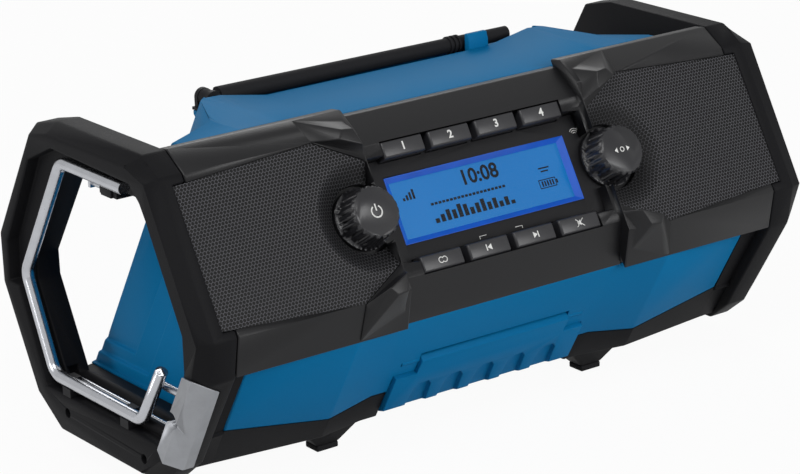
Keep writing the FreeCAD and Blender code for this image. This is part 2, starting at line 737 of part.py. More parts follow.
# Front frame with its corner bumpers
def bumper(name, side, way):
    """One faceted corner bumper of the control section, as a closed facet solid."""
    high = S.bump_high.value
    raised = [(68.6, 30.5), (71.2, 38.8), (77.0, 39.4), (80.0, 35.3)]
    brow = S.brow_drop.value
    if way > 0:
        outer = (90.4, S.brow_up.value, -brow)
        inner = (65.0, S.mid_brow_up.value, -S.mid_brow_drop.value)
    else:
        outer = (91.0, 52.3, -11.4)
        inner = (65.0, 49.6, -15.4)
    root = [(62.2, 26.4, -S.mid_set.value - 0.4), inner, outer, (89.3, 38.6, 0.2)]
    deep = -12.9
    top = [V(side * x, way * up, high) for x, up in raised]
    rim = [V(side * x, way * up, out) for x, up, out in root]
    back = [V(point.x, point.y, min(deep, point.z - 0.4)) for point in rim]
    faces = [polygon_face(top)]
    for index in range(4):
        following = (index + 1) % 4
        a, b = rim[index], rim[following]
        c, d = top[following], top[index]
        faces.append(polygon_face([a, b, c]))
        faces.append(polygon_face([a, c, d]))
        faces.append(polygon_face([back[index], back[following], b, a]))
    faces.append(polygon_face([back[0], back[3], back[1]]))
    faces.append(polygon_face([back[1], back[3], back[2]]))
    shell = Part.makeShell(faces)
    shell.sewShape()
    solid = Part.makeSolid(shell)
    if solid.Volume < 0:
        solid.reverse()
    thing = doc.addObject("Part::Feature", name)
    thing.Shape = solid
    return thing


def polygon_face(points):
    return Part.Face(Part.makePolygon(points + [points[0]]))


def grille_outline(side, grow=0):
    """The outline of a grille, up the panel."""
    points = [
        (S.grille_out + grow, -(S.grille_up + grow)), (S.grille_out + grow, S.grille_up + grow),
        (S.grille_bend, S.grille_bend_up + grow), (S.grille_in - grow, S.grille_in_up + grow),
        (S.grille_in - grow, -(S.grille_in_up + grow)), (S.grille_bend, -(S.grille_bend_up + grow)),
    ]
    return points if side > 0 else mirrored_points(points)


def dish_room(side):
    """The room that the dish of a grille takes in the front frame."""
    bowl = new_body("dish_bowl")
    profile = new_sketch(bowl, "XZ")
    low = -S.grille_seat - S.dish_deep - 0.2
    add_polygon(profile, [
        (0, low), (S.knob_well_r + 0.4, low), (S.dish_r + 1.2, -S.grille_seat - 0.2),
        (S.dish_r + 1.2, 2.0), (0, 2.0),
    ])
    turn_round(bowl, profile)
    place(bowl, side * S.knob_x, 0, 0)
    field = new_body("dish_field")
    outline = new_sketch(field, "XY", -20.0)
    add_polygon(outline, grille_outline(side, 0.2))
    pad(field, outline, 40.0)
    return overlap("dish_room", bowl, field)


def turn_round(body, profile):
    """A full turn of a profile about the upright axis of its sketch."""
    turned = body.newObject("PartDesign::Revolution", body.Name + "_turned")
    turned.Profile = profile
    turned.ReferenceAxis = (profile, ["V_Axis"])
    turned.Angle = 360
    return turned


def overlap(name, one, other):
    common = doc.addObject("Part::MultiCommon", name)
    common.Shapes = [one, other]
    return common


def front_frame():
    """The black bezel with its brow, chin, control well and corner bumpers."""
    body = new_body("frame_body")
    profile = [
        (-S.panel_half, 0), (S.panel_half, 0), (S.brow_up, -S.brow_drop),
        (S.frame_up, -S.frame_deep), (-S.frame_down, -S.frame_deep),
    ]
    pad(body, add_polygon(new_sketch(body, "YZ"), profile), 2 * (S.ring_in - S.seam), symmetric=True)
    middle = new_sketch(body, "XY", 1.0)
    add_rectangle(middle, 0, 0, 2 * S.mid_half, 120.0)
    pocket(body, middle, 30.0)
    centre = [
        (-S.mid_down, -S.mid_deep), (-(S.button_up + 4.1), -S.mid_set), (S.button_up + 4.1, -S.mid_set),
        (S.mid_brow_up, -S.mid_brow_drop), (S.mid_up, -S.mid_deep),
    ]
    pad(body, add_polygon(new_sketch(body, "YZ"), centre), 2 * (S.mid_half + 1.0), symmetric=True)
    for side in (1, -1):
        seat = new_sketch(body, "XY", 1.0)
        add_polygon(seat, grille_outline(side, 0.2))
        pocket(body, seat, S.grille_seat + 1.0)
    bumpers = [bumper("bumper", side, way) for side in (1, -1) for way in (1, -1)]
    solid = join("frame_solid", [body] + bumpers)
    openings = new_body("frame_openings")
    well = new_sketch(openings, "XY", -40.0)
    row = S.button_up + S.button_tall / 2 + S.slip
    row_half = 1.5 * S.button_pitch + S.button_w / 2 + S.slip
    well_half, well_up = S.well_half, S.well_up
    add_polygon(well, [
        (row_half, -row), (row_half, -well_up), (well_half, -well_up), (well_half, well_up),
        (row_half, well_up), (row_half, row), (-row_half, row), (-row_half, well_up),
        (-well_half, well_up), (-well_half, -well_up), (-row_half, -well_up), (-row_half, -row),
    ])
    pad(openings, well, 60.0)
    knobs = [rod("knob_well", S.knob_well_r, 60.0, side * S.knob_x, 0, -40.0) for side in (1, -1)]
    knobs += [dish_room(side) for side in (1, -1)]
    mouths = [rod("speaker_mouth", S.cone_r + 1.5, 60.0, side * S.speaker_x, 0, -40.0) for side in (1, -1)]
    frame = cut("frame_cut", solid, [openings] + knobs + mouths)
    return keep(on_panel(frame), "front_frame")


def control_panel():
    """The sunk panel of the controls, with slots for buttons, shafts and screen."""
    body = new_body("control_body")
    flange = new_sketch(body, "XY", -S.mid_deep - 2.0)
    add_rectangle(flange, 0, 0, 2 * (S.well_half + 8.0), 2 * 39.0)
    pad(body, flange, 2.0)
    face = new_sketch(body, "XY", -S.mid_deep - 1.0)
    add_rectangle(face, 0, 0, 2 * (S.well_half - 0.2), 2 * (S.well_up - 0.2))
    pad(body, face, S.mid_deep + 1.0 - S.well_deep)
    for side in (1, -1):
        lobe = new_sketch(body, "XY", -S.mid_deep - 2.0)
        add_circle(lobe, side * S.knob_x, 0, S.knob_well_r - 0.2)
        pad(body, lobe, S.mid_deep + 2.0 - S.well_deep)
    window = new_sketch(body, "XY", 0)
    add_rectangle(window, 0, 0, S.window_w, S.window_tall)
    pocket(body, window, 40.0)
    slots = new_sketch(body, "XY", 0)
    for x, up in button_places():
        add_rectangle(slots, x, up, S.button_w + 2 * S.slip, S.button_tall + 2 * S.slip)
    for side in (1, -1):
        add_circle(slots, side * S.knob_x, 0, S.shaft_r + S.slip)
    pocket(body, slots, 40.0)
    posts = new_sketch(body, "XY", -S.board_deep)
    for side in (1, -1):
        for way in (1, -1):
            add_circle(posts, side * 60.0, way * 20.0, 3.0)
    pad(body, posts, S.board_deep - S.mid_deep - 1.0)
    return keep(on_panel(body), "control_panel")


def button_places():
    """Centres of the push buttons, the upper row first, from left to right."""
    columns = (-1.5, -0.5, 0.5, 1.5)
    return [(column * S.button_pitch, way * S.button_up) for way in (1, -1) for column in columns]


BUTTONS = [
    "preset_button_1", "preset_button_2", "preset_button_3", "preset_button_4",
    "link_button", "previous_button", "next_button", "mute_button",
]


def push_buttons():
    """Eight push buttons with a sloped front and a retaining foot."""
    for label, (x, up) in zip(BUTTONS, button_places()):
        body = new_body(label + "_body")
        back = S.mid_deep + 3.4
        stem = new_sketch(body, "XY", -back)
        add_rectangle(stem, 0, 0, S.button_w, S.button_tall)
        pad(body, stem, back - S.mid_set - 1.2)
        brow = new_sketch(body, "XY", -S.mid_set - 1.2)
        add_rectangle(brow, 0, 0, S.button_w, S.button_tall)
        crown = new_sketch(body, "XY", -S.mid_set)
        add_rectangle(crown, 0, 0.2, S.button_w - 1.6, S.button_tall - 1.4)
        loft(body, [brow, crown])
        foot = new_sketch(body, "XY", -back)
        add_rectangle(foot, 0, 0, S.button_w + 1.8, S.button_tall + 1.8)
        pad(body, foot, 1.0)
        keep(on_panel(body, x, up), label)


def display_pieces():
    """The lit surround, the lens and the screen module."""
    body = new_body("surround_body")
    front = -S.well_deep - 0.1
    wide = new_sketch(body, "XY", front)
    add_rectangle(wide, 0, 0, S.window_w - 0.2, S.window_tall - 0.2)
    pad(body, wide, S.screen_set, reverse=True)
    rim = new_sketch(body, "XY", front)
    add_rectangle(rim, 0, 0, S.window_w - 0.6, S.window_tall - 0.6)
    base = new_sketch(body, "XY", front - S.screen_set)
    add_rectangle(base, 0, 0, S.screen_w, S.screen_tall)
    loft(body, [rim, base], cutting=True)
    keep(on_panel(body), "display_surround")
    lens = box("lens_box", S.window_w - 0.4, S.window_tall - 0.4, 1.0)
    place(lens, -(S.window_w - 0.4) / 2, -(S.window_tall - 0.4) / 2, -S.well_deep - S.screen_set - 1.2)
    keep(on_panel(group("lens_seat", [lens])), "display_lens")
    screen = box("screen_box", S.window_w - 2.0, S.window_tall - 1.0, 4.5)
    place(screen, -(S.window_w - 2.0) / 2, -(S.window_tall - 1.0) / 2, -S.well_deep - S.screen_set - 6.0)
    keep(on_panel(group("screen_seat", [screen])), "lcd_module")


def knob(side, label):
    """A knob with a skirt and grooves round its side."""
    body = new_body(label + "_body")
    profile = new_sketch(body, "XZ")
    low, high = -S.knob_foot, S.knob_high
    bore = S.shaft_r + S.fit
    add_polygon(profile, [
        (bore, low), (S.knob_skirt_r, low), (S.knob_skirt_r, low + 1.3), (S.knob_root_r, low + 1.6),
        (S.knob_r, high - 1.0), (S.knob_r - 1.0, high), (0, high), (0, high - 3.5), (bore, high - 3.5),
    ])
    turn_round(body, profile)
    doc.recompute()
    notch = new_sketch(body, "XY", high + 1.0)
    add_polygon(notch, [
        (S.knob_root_r + 2.0, -0.9), (S.knob_root_r + 2.0, 0.9),
        (S.knob_r - 0.7, 0.5), (S.knob_r - 0.7, -0.5),
    ])
    groove = pocket(body, notch, high + 1.0 - low - 2.6)
    pattern = body.newObject("PartDesign::PolarPattern", label + "_grooves")
    pattern.Originals = [groove]
    axis = [item for item in body.Origin.OriginFeatures if item.Role == "Z_Axis"][0]
    pattern.Axis = (axis, [""])
    pattern.Angle = 360
    pattern.setExpression("Occurrences", S.knob_grooves.text)
    body.Tip = pattern
    return keep(on_panel(body, side * S.knob_x), label)


def encoder(side, label, shaft_label):
    """A rotary encoder on the keypad board, and its shaft."""
    deep = S.board_deep
    front = S.mid_deep + 2.2
    case = box(label + "_case", 13.0, 13.0, deep - front)
    place(case, -6.5, -6.5, -deep)
    bore = rod(label + "_bore", S.shaft_r + S.fit, 30.0, 0, 0, -deep - 5.0)
    keep(on_panel(cut(label + "_cut", case, [bore]), side * S.knob_x), label)
    long = deep - S.knob_push - 0.4 + S.knob_high - 3.6
    stem = rod(shaft_label + "_rod", S.shaft_r, long, 0, 0, -deep + S.knob_push + 0.4)
    return keep(on_panel(group(shaft_label + "_seat", [stem]), side * S.knob_x), shaft_label)


def keypad_board():
    """The keypad board behind the controls, and its key switches."""
    plate = box("board_plate", 2 * 82.0, 2 * 33.0, S.board_thick)
    place(plate, -82.0, -33.0, -S.board_deep - S.board_thick)
    keep(on_panel(group("board_seat", [plate])), "keypad_board")
    gap = S.board_deep - (S.mid_deep + 3.4) - S.button_push - 0.3
    switches = []
    for x, up in button_places():
        switch = box("switch", 6.0, 6.0, gap)
        switches.append(place(switch, x - 3.0, up - 3.0, -S.board_deep))
    return keep(on_panel(group("switch_group", switches)), "key_switches")


def speaker(side, name):
    """A loudspeaker: pressed basket, cone and magnet, and its grille."""
    body = new_body(name + "_grille_body")
    sheet_sketch = new_sketch(body, "XY", -S.grille_seat)
    add_polygon(sheet_sketch, grille_outline(side))
    pad(body, sheet_sketch, S.grille_thick)
    notch = new_sketch(body, "XY", 5.0)
    add_circle(notch, side * S.knob_x, 0, S.dish_r)
    pocket(body, notch, 20.0)
    bowl = new_body(name + "_dish_body")
    profile = new_sketch(bowl, "XZ")
    top, deep = -S.grille_seat + S.grille_thick, S.dish_deep
    add_polygon(profile, [
        (S.knob_well_r, -S.grille_seat - deep), (S.dish_r, -S.grille_seat), (S.dish_r + 0.4, -S.grille_seat),
        (S.dish_r + 0.4, top), (S.dish_r, top), (S.knob_well_r, top - deep),
    ])
    turn_round(bowl, profile)
    place(bowl, side * S.knob_x, 0, 0)
    field = new_body(name + "_field_body")
    outline = new_sketch(field, "XY", -20.0)
    add_polygon(outline, grille_outline(side))
    pad(field, outline, 40.0)
    dished = overlap(name + "_dish", bowl, field)
    keep(on_panel(join(name + "_grille_join", [body, dished])), "speaker_grille_" + name)
    basket = new_body(name + "_basket_body")
    profile = new_sketch(basket, "XZ")
    rim, deep = -S.frame_deep, -S.frame_deep - 16.0
    add_polygon(profile, [
        (S.cone_r, rim), (S.speaker_r, rim), (S.speaker_r, rim - 2.0), (S.cone_r + 1.5, rim - 2.0),
        (12.0, deep), (7.0, deep), (7.0, deep + 2.0), (11.0, deep + 2.0), (S.cone_r, rim - 3.0),
    ])
    turn_round(basket, profile)
    keep(on_panel(basket, side * S.speaker_x), "speaker_basket_" + name)
    cone = new_body(name + "_cone_body")
    profile = new_sketch(cone, "XZ")
    add_polygon(profile, [
        (S.cone_r - 0.1, rim), (S.cone_r - 0.1, rim - 1.2), (7.5, deep + 4.0), (6.7, deep + 3.4), (6.7, deep),
        (0, deep), (0, deep + 6.5), (5.5, deep + 6.5), (8.0, deep + 5.6), (S.cone_r - 2.0, rim - 0.6),
        (S.cone_r - 2.5, rim),
    ])
    turn_round(cone, profile)
    keep(on_panel(cone, side * S.speaker_x), "speaker_cone_" + name)
    magnet = rod(name + "_magnet", 15.0, 10.0, 0, 0, deep - 10.0)
    seat = on_panel(group(name + "_magnet_seat", [magnet]), side * S.speaker_x)
    return keep(seat, "speaker_magnet_" + name)


# Hanging hook on the left loop
def bent_rod(name, points, radius, bend):
    """A round rod along straight runs joined by tangent arcs."""
    edges = []
    start = points[0]
    for before, corner, after in zip(points, points[1:], points[2:]):
        inward = (corner - before).normalize()
        outward = (after - corner).normalize()
        half = inward.getAngle(outward) / 2
        trim = bend * math.tan(half)
        arc_start = corner - inward * trim
        arc_end = corner + outward * trim
        middle = (outward - inward).normalize()
        arc_mid = corner + middle * (bend / math.cos(half) - bend)
        edges.append(Part.LineSegment(start, arc_start).toShape())
        edges.append(Part.Arc(arc_start, arc_mid, arc_end).toShape())
        start = arc_end
    edges.append(Part.LineSegment(start, points[-1]).toShape())
    path = Part.Wire(edges)
    section = Part.Wire(Part.makeCircle(radius, points[0], points[1] - points[0]))
    thing = doc.addObject("Part::Feature", name)
    thing.Shape = path.makePipeShell([section], True, False)
    return thing


def hanging_hook():
    """The bent steel hook; its lower run turns in the two saddles."""
    x = -S.hook_x.value
    low, high = S.hook_axle_z.value, S.hook_top_z.value
    route = [(-25.5, high), (30.0, high), (71.0, 83.0), (50.0, low), (-28.0, low), (-47.5, 66.0)]
    points = [V(x, y, z) for y, z in route]
    return keep(bent_rod("hook_rod", points, S.hook_r.value, S.hook_bend.value), "hanging_hook")


def hook_hardware():
    """Saddles, guide bar, stop pin, steel corner and the clip of the hook."""
    saddles = []
    for y in (-16.0, 36.0):
        wide = S.hook_seat - 0.2
        middle_x = -S.ring_out + S.hook_seat / 2 + 0.1
        block = box("saddle_block", wide, 7.0, 9.4, middle_x, y, S.hook_axle_z - 6.4)
        bore = rod("saddle_bore", S.hook_r + S.fit, 20.0, -S.hook_x, y - 10.0, S.hook_axle_z, "y")
        mouth = box("saddle_mouth", 12.0, 20.0, 6.0, -S.hook_x - 6.0, y, S.hook_axle_z - 2.2)
        saddles.append(cut("saddle", block, [bore, mouth]))
    keep(group("saddle_group", saddles), "hook_saddles")
    bar = rod("guide_bar", 1.6, 96.0, -(S.ring_out - 11.5), -47.1, 34.3, "y")
    keep(group("guide_seat", [bar]), "hook_guide_bar")
    pin = rod("stop_pin", 2.0, 19.5, -S.hook_x + S.hook_r + 2.3, -60.2, 56.0, "y")
    keep(group("stop_seat", [pin]), "hook_stop_pin")
    corner = new_body("corner_body")
    face = new_sketch(corner, "YZ", -S.ring_out - 0.6)
    add_polygon(face, [(-78.0, 70.9), (-70.6, 70.9), (-45.1, 29.0), (-49.0, 23.6)])
    full = new_sketch(corner, "YZ", -S.ring_out + S.ring_bevel)
    add_polygon(full, [(-81.3, 66.2), (-67.9, 66.2), (-45.1, 29.0), (-53.5, 19.4)])
    inner = new_sketch(corner, "YZ", -S.ring_out + 13.0)
    add_polygon(inner, [(-79.4, 63.0), (-66.0, 63.0), (-45.1, 29.0), (-53.5, 19.4)])
    loft(corner, [face, full])
    loft(corner, [full, inner])
    notch = rod("corner_notch", 4.2, 6.0, -S.ring_out - 2.0, -59.0, 47.0, "x")
    keep(cut("corner_cut", corner, [notch]), "steel_corner")
    clip_z = S.hook_top_z - 9.3
    block = box("clip_block", 9.0, 15.0, 4.8, -(S.ring_out - 11.4), -4.0, clip_z)
    tooth = box("clip_tooth", 1.2, 9.0, 5.6, -(S.ring_out - 6.3), -4.0, clip_z)
    keep(join("clip_join", [block, tooth]), "hook_clip")
    spring = rod("clip_spring", 1.2, 10.0, -(S.ring_out - 9.0), 3.5, clip_z + 2.2, "y")
    link = box("clip_link", 4.0, 2.0, 4.4, -(S.ring_out - 9.0), 12.5, clip_z + 0.4)
    return keep(join("clip_spring_join", [spring, link]), "hook_clip_spring")


# Aerial on the rear ledge
def aerial():
    """The folding rubber aerial, its yoke, pin and clip."""
    x, y, z = -S.aerial_hinge_x, S.aerial_y, S.aerial_z
    root = doc.addObject("Part::Cone", "aerial_taper")
    root.setExpression("Radius1", S.aerial_root_r.text)
    root.setExpression("Radius2", S.aerial_tip_r.text)
    root_x = x + 5.2
    root.setExpression("Height", (S.aerial_tip_x - root_x).text)
    place(root, root_x, y, z, V(0, 1, 0), 90)
    barrel = rod("aerial_barrel", 4.0, 5.0, x, y - 2.5, z, "y")
    neck = box("aerial_neck", 6.5, 5.0, 5.0, x + 3.0, y, z - 2.5)
    rib_r = S.aerial_tip_r + 0.9
    ribs = [rod("aerial_rib", rib_r, 1.2, 48.0 + 2.6 * index, y, z, "x") for index in range(3)]
    solid = join("aerial_join", [root, barrel, neck] + ribs)
    bore = rod("aerial_bore", 1.5 + S.fit, 20.0, x, y - 10.0, z, "y")
    keep(cut("aerial_cut", solid, [bore]), "aerial_rod")
    cheeks = []
    for start in (y - 5.4, y + 2.8):
        cheeks.append(rod("yoke_cheek", 4.2, 2.6, x, start, z, "y"))
        cheeks.append(box("yoke_leg", 8.4, 2.6, z - S.ledge_z, x, start + 1.3, S.ledge_z))
    foot = box("yoke_foot", 10.0, 13.0, 1.4, x, y, S.ledge_z)
    yoke = join("yoke_join", cheeks + [foot])
    hole = rod("yoke_bore", 1.5, 20.0, x, y - 10.0, z, "y")
    keep(cut("yoke_cut", yoke, [hole]), "aerial_yoke")
    pin = rod("aerial_pin_rod", 1.5, 11.2, x, y - 5.6, z, "y")
    keep(group("aerial_pin_seat", [pin]), "aerial_pin")
    body = new_body("aerial_clip_body")
    sketch = new_sketch(body, "YZ", S.clip_x - 6.0)
    front, rear = S.ledge_y + 0.1, S.aerial_y + 7.5
    opening = S.aerial_tip_r + 1.2
    add_polygon(sketch, [
        (front, S.ledge_z), (rear, S.ledge_z), (rear - 1.0, z + 0.5), (y + opening, z + 0.5),
        (y + opening, z - 4.2), (y - opening, z - 4.2), (y - opening, z + 5.6), (front + 1.2, z + 5.6),
        (front, z + 2.0),
    ])
    pad(body, sketch, 12.0)
    return keep(body, "aerial_clip")


# Socket flap on the lower front
def socket_flap():
    """The hinged flap with its finger scallops, its pin and what it covers."""
    body = new_body("flap_body")
    profile = [
        (2.6, -S.flap_bay_deep + 2.1), (2.6, 0.9), (1.2, S.flap_proud), (-S.flap_long + 3.0, S.flap_proud),
        (-S.flap_long, 0.4), (-S.flap_long, -S.flap_bay_deep + 0.6), (-7.0, -S.flap_bay_deep + 0.6),
    ]
    pad(body, add_polygon(new_sketch(body, "YZ"), profile), 2 * S.flap_half, symmetric=True)
    ears = new_sketch(body, "XY", 10.0)
    for side in (1, -1):
        middle = side * (S.flap_neck + S.flap_half + 5.0) / 2
        add_rectangle(ears, middle, 0.5, S.flap_half - S.flap_neck + 5.0, 16.0)
    pocket(body, ears, 30.0)
    pitch = 18.75
    for index in range(-2, 3):
        scallop = new_sketch(body, "XY", 10.0)
        x = index * pitch
        add_polygon(scallop, [
            (x - 6.6, -S.flap_long - 5.0), (x + 6.6, -S.flap_long - 5.0), (x + 5.6, -18.5),
            (x + 3.4, -15.6), (x - 1.6, -15.6), (x - 4.6, -18.5),
        ])
        pocket(body, scallop, 10.0 - S.flap_proud + 2.4)
    placed = on_low_front(group("flap_seat", [body]))
    y, z = low_yz(0, -S.flap_sink)
    bore = rod("flap_bore", S.flap_pin_r + S.fit, 2 * (S.flap_half + 5.0), -(S.flap_half + 5.0), y, z, "x")
    keep(cut("flap_cut", placed, [bore]), "socket_flap")
    pin = rod("flap_pin_rod", S.flap_pin_r, 2 * 54.0, -54.0, y, z, "x")
    return keep(group("flap_pin_seat", [pin]), "flap_hinge_pin")


def socket_tray():
    """The tray of sockets behind the flap, its seal and the sockets."""
    deep = 10.0
    low_up, high_up = -17.2, 7.4
    block = doc.addObject("Part::Box", "tray_block")
    block.setExpression("Length", (2 * (S.flap_half + 2.0)).text)
    block.Width = high_up - low_up
    block.Height = deep
    on_low_front(block, -(S.flap_half + 2.0), low_up, -S.wall - deep)
    cavity = doc.addObject("Part::Box", "tray_cavity")
    cavity.Length = 76.0
    cavity.Width = 11.4
    cavity.Height = 30.0
    on_low_front(cavity, -38.0, -15.0, -S.wall - deep + 1.6)
    y, z = low_yz(0, -S.flap_sink)
    groove = rod("tray_groove", S.flap_pin_r + S.fit, 2 * 54.3, -54.3, y, z, "x")
    keep(cut("tray_cut", block, [flap_bay("tray_flap_bay"), cavity, groove]), "socket_tray")
    floor = -S.wall - deep + 1.6
    jack = on_low_front(rod("jack_body", 3.6, 3.2), -24.0, -9.3, floor)
    jack_bore = on_low_front(rod("jack_bore", 1.8, 9.0), -24.0, -9.3, floor + 0.8)
    power = on_low_front(rod("power_body", 4.4, 3.2), 24.0, -9.3, floor)
    power_bore = on_low_front(rod("power_bore", 2.9, 9.0), 24.0, -9.3, floor + 0.8)
    port = doc.addObject("Part::Box", "port_body")
    port.Length, port.Width, port.Height = 14.0, 7.0, 3.2
    on_low_front(port, -7.0, -12.8, floor)
    port_mouth = doc.addObject("Part::Box", "port_mouth")
    port_mouth.Length, port_mouth.Width, port_mouth.Height = 12.0, 4.6, 9.0
    on_low_front(port_mouth, -6.0, -11.6, floor + 0.8)
    sockets = [
        cut("jack", jack, [jack_bore]), cut("port", port, [port_mouth]), cut("power", power, [power_bore]),
    ]
    return keep(group("socket_group", sockets), "sockets")


# Battery bay and pack
def battery_bay():
    """The liner of the battery bay with its two rails."""
    gap = S.slip + 0.3
    wide, tall = S.pack_w + 2 * gap, S.pack_tall + 2 * gap
    front = S.pack_rear - S.pack_long - 6.0
    length = S.rear_flat - S.wall - front
    middle = front + length / 2
    outer_wide, outer_tall = wide + 2 * S.liner, tall + 2 * S.liner
    outer = box("bay_outer", outer_wide, length, outer_tall, 0, middle, S.pack_low - gap - S.liner)
    inner = box("bay_inner", wide, length, tall, 0, middle + S.liner, S.pack_low - gap)
    rails = []
    for side in (1, -1):
        rail_x = side * (wide / 2 - S.rail / 2 + 0.1)
        rails.append(box("bay_rail", S.rail + 0.2, length - 14.0, 3.0, rail_x, middle, S.pack_low + 38.0))
    return keep(join("bay_join", [cut("bay_cut", outer, [inner])] + rails), "battery_bay")


def battery_pack():
    """The pack, its release button, the terminal block and its blades."""
    front = S.pack_rear - S.pack_long
    body = new_body("pack_body")
    outline = new_sketch(body, "XZ", -S.pack_rear)
    half, low, high = S.pack_w / 2, S.pack_low, S.pack_low + S.pack_tall
    notch_low, notch_high = low + 37.4, low + 41.6
    deep = S.rail + 0.7
    add_polygon(outline, [
        (-half + 4.0, low), (half - 4.0, low), (half, low + 4.0), (half, notch_low),
        (half - deep, notch_low),
        (half - deep, notch_high), (half, notch_high), (half, high), (-half, high), (-half, notch_high),
        (-half + deep, notch_high), (-half + deep, notch_low), (-half, notch_low), (-half, low + 4.0),
    ])
    pad(body, outline, S.pack_long)
    button_room = box("release_room", 26.0, 8.0, 11.0, 0, S.pack_rear - 3.0, low + 20.0)
    slots = [box("blade_room", 2.4, 24.0, 12.0, x, front, low + 30.0) for x in (-18.0, -6.0, 6.0, 18.0)]
    keep(cut("pack_cut", body, [button_room] + slots), "battery_pack")
    button_w, button_tall = 26.0 - 2 * S.slip, 11.0 - 2 * S.slip
    button = box("release_box", button_w, 5.0, button_tall, 0, S.pack_rear - 2.0, low + 20.0 + S.slip)
    keep(group("release_seat", [button]), "battery_release")
    seat_y = front - 6.0 + S.liner
    block = box("terminal_box", 52.0, 3.4, 18.0, 0, seat_y + 1.7, low + 27.0)
    blades = [box("blade", 0.8, 10.0, 8.0, x, front + 1.0, low + 32.0) for x in (-18.0, -6.0, 6.0, 18.0)]
    keep(cut("terminal_cut", block, blades), "terminal_block")
    return keep(group("blade_group", blades), "terminal_blades")


def inside_boards():
    """The main board on the battery bay, and its posts."""
    top = S.pack_low + S.pack_tall + S.slip + 0.3 + S.liner
    posts = [rod("board_post", 3.0, 6.0, x, y, top) for x in (-34.0, 34.0) for y in (-6.0, 44.0)]
    doc.getObject("bay_join").Shapes += posts
    board = box("main_board_box", 96.0, 62.0, S.board_thick, 0, 19.0, top + 6.0)
    keep(group("main_board_seat", [board]), "main_board")
    sink = box("sink_box", 40.0, 22.0, 9.0, 0, 8.0, top + 6.0 + S.board_thick)
    floor = top + 8.5 + S.board_thick
    slots = [box("sink_slot", 2.2, 30.0, 9.0, -16.0 + 6.4 * n, 8.0, floor) for n in range(6)]
    return keep(cut("sink_cut", sink, slots), "amplifier_heat_sink")


def rear_screws():
    """Screws at the corners of the rear cover."""
    screws = []
    for x, z in rear_screw_places():
        head = rod("rear_head", S.screw_head_r, 1.4, x, S.rear_flat, z, "y")
        shank = rod("rear_shank", S.screw_shank_r, 8.0, x, S.rear_flat - 7.0, z, "y")
        screws.append(join("rear_screw", [head, shank]))
    return keep(group("rear_screw_group", screws), "rear_screws")


def build():
    main_housing()
    rear_cover()
    base_frame()
    base_screws()
    foot_pads()
    end_ring(-1, "end_ring_left")
    end_ring(1, "end_ring_right")
    loop_screws()
    front_frame()
    control_panel()
    push_buttons()
    display_pieces()
    knob(-1, "volume_knob")
    knob(1, "tune_knob")
    encoder(-1, "volume_encoder", "volume_shaft")
    encoder(1, "tune_encoder", "tune_shaft")
    keypad_board()
    speaker(-1, "left")
    speaker(1, "right")
    hanging_hook()
    hook_hardware()
    aerial()
    socket_flap()
    socket_tray()
    battery_bay()
    battery_pack()
    inside_boards()
    rear_screws()
    doc.recompute()


def check():
    """Stops when any object failed or a sub-part isn't a sound shape."""
    for thing in doc.Objects:
        if "Invalid" in thing.State or "Error" in thing.State:
            raise RuntimeError(f"{thing.Name} ({thing.Label}) is {thing.State}")
    for node in nodes:
        if node.Shape.isNull() or not node.Shape.isValid():
            raise RuntimeError(f"{node.Label} has no sound shape")
        if not node.Shape.Solids:
            raise RuntimeError(f"{node.Label} has no solid")


def write():
    os.makedirs("parts", exist_ok=True)
    for node in nodes:
        node.Shape.exportStep(f"parts/{node.Label}.step")
        bounds = node.Shape.BoundBox
        print(f"{node.Label:24s} solids {len(node.Shape.Solids):2d} volume {node.Shape.Volume:10.0f}"
              f" x {bounds.XMin:7.1f} {bounds.XMax:7.1f} y {bounds.YMin:6.1f} {bounds.YMax:6.1f}"
              f" z {bounds.ZMin:6.1f} {bounds.ZMax:6.1f}")
    print(len(nodes), "sub-parts")


build()
check()
write()
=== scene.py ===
"""Looks of the jobsite radio: finishes, softened edges, printed marks, screen and a plain studio."""
import json
import math

import bmesh
import bpy
from bpy.props import FloatProperty, PointerProperty, StringProperty
from mathutils import Matrix, Vector

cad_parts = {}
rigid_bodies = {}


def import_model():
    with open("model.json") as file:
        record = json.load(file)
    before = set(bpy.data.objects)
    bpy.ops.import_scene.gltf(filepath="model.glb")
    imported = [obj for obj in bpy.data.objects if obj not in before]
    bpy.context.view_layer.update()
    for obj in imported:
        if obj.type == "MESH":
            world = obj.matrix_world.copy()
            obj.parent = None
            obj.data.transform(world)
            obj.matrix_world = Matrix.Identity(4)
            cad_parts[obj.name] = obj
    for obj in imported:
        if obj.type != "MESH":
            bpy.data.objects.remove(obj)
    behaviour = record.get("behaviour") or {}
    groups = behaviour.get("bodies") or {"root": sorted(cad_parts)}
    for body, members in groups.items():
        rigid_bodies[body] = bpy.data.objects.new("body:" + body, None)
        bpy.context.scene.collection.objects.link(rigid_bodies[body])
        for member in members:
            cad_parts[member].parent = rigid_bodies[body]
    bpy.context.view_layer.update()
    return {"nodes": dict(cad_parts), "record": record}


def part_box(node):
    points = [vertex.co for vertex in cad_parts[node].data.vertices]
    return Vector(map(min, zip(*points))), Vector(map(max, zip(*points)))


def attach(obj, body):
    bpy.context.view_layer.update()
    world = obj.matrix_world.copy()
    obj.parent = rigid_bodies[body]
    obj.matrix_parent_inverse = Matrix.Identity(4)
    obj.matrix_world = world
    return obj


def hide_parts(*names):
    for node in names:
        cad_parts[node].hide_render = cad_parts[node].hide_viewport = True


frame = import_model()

bl_info = {
    "name": "Jobsite radio looks",
    "version": (1, 0, 0),
    "blender": (4, 5, 0),
    "location": "View3D > Sidebar > Radio",
    "description": "Dresses the radio's solids with finishes, softened edges, marks and a studio",
    "category": "Object",
}

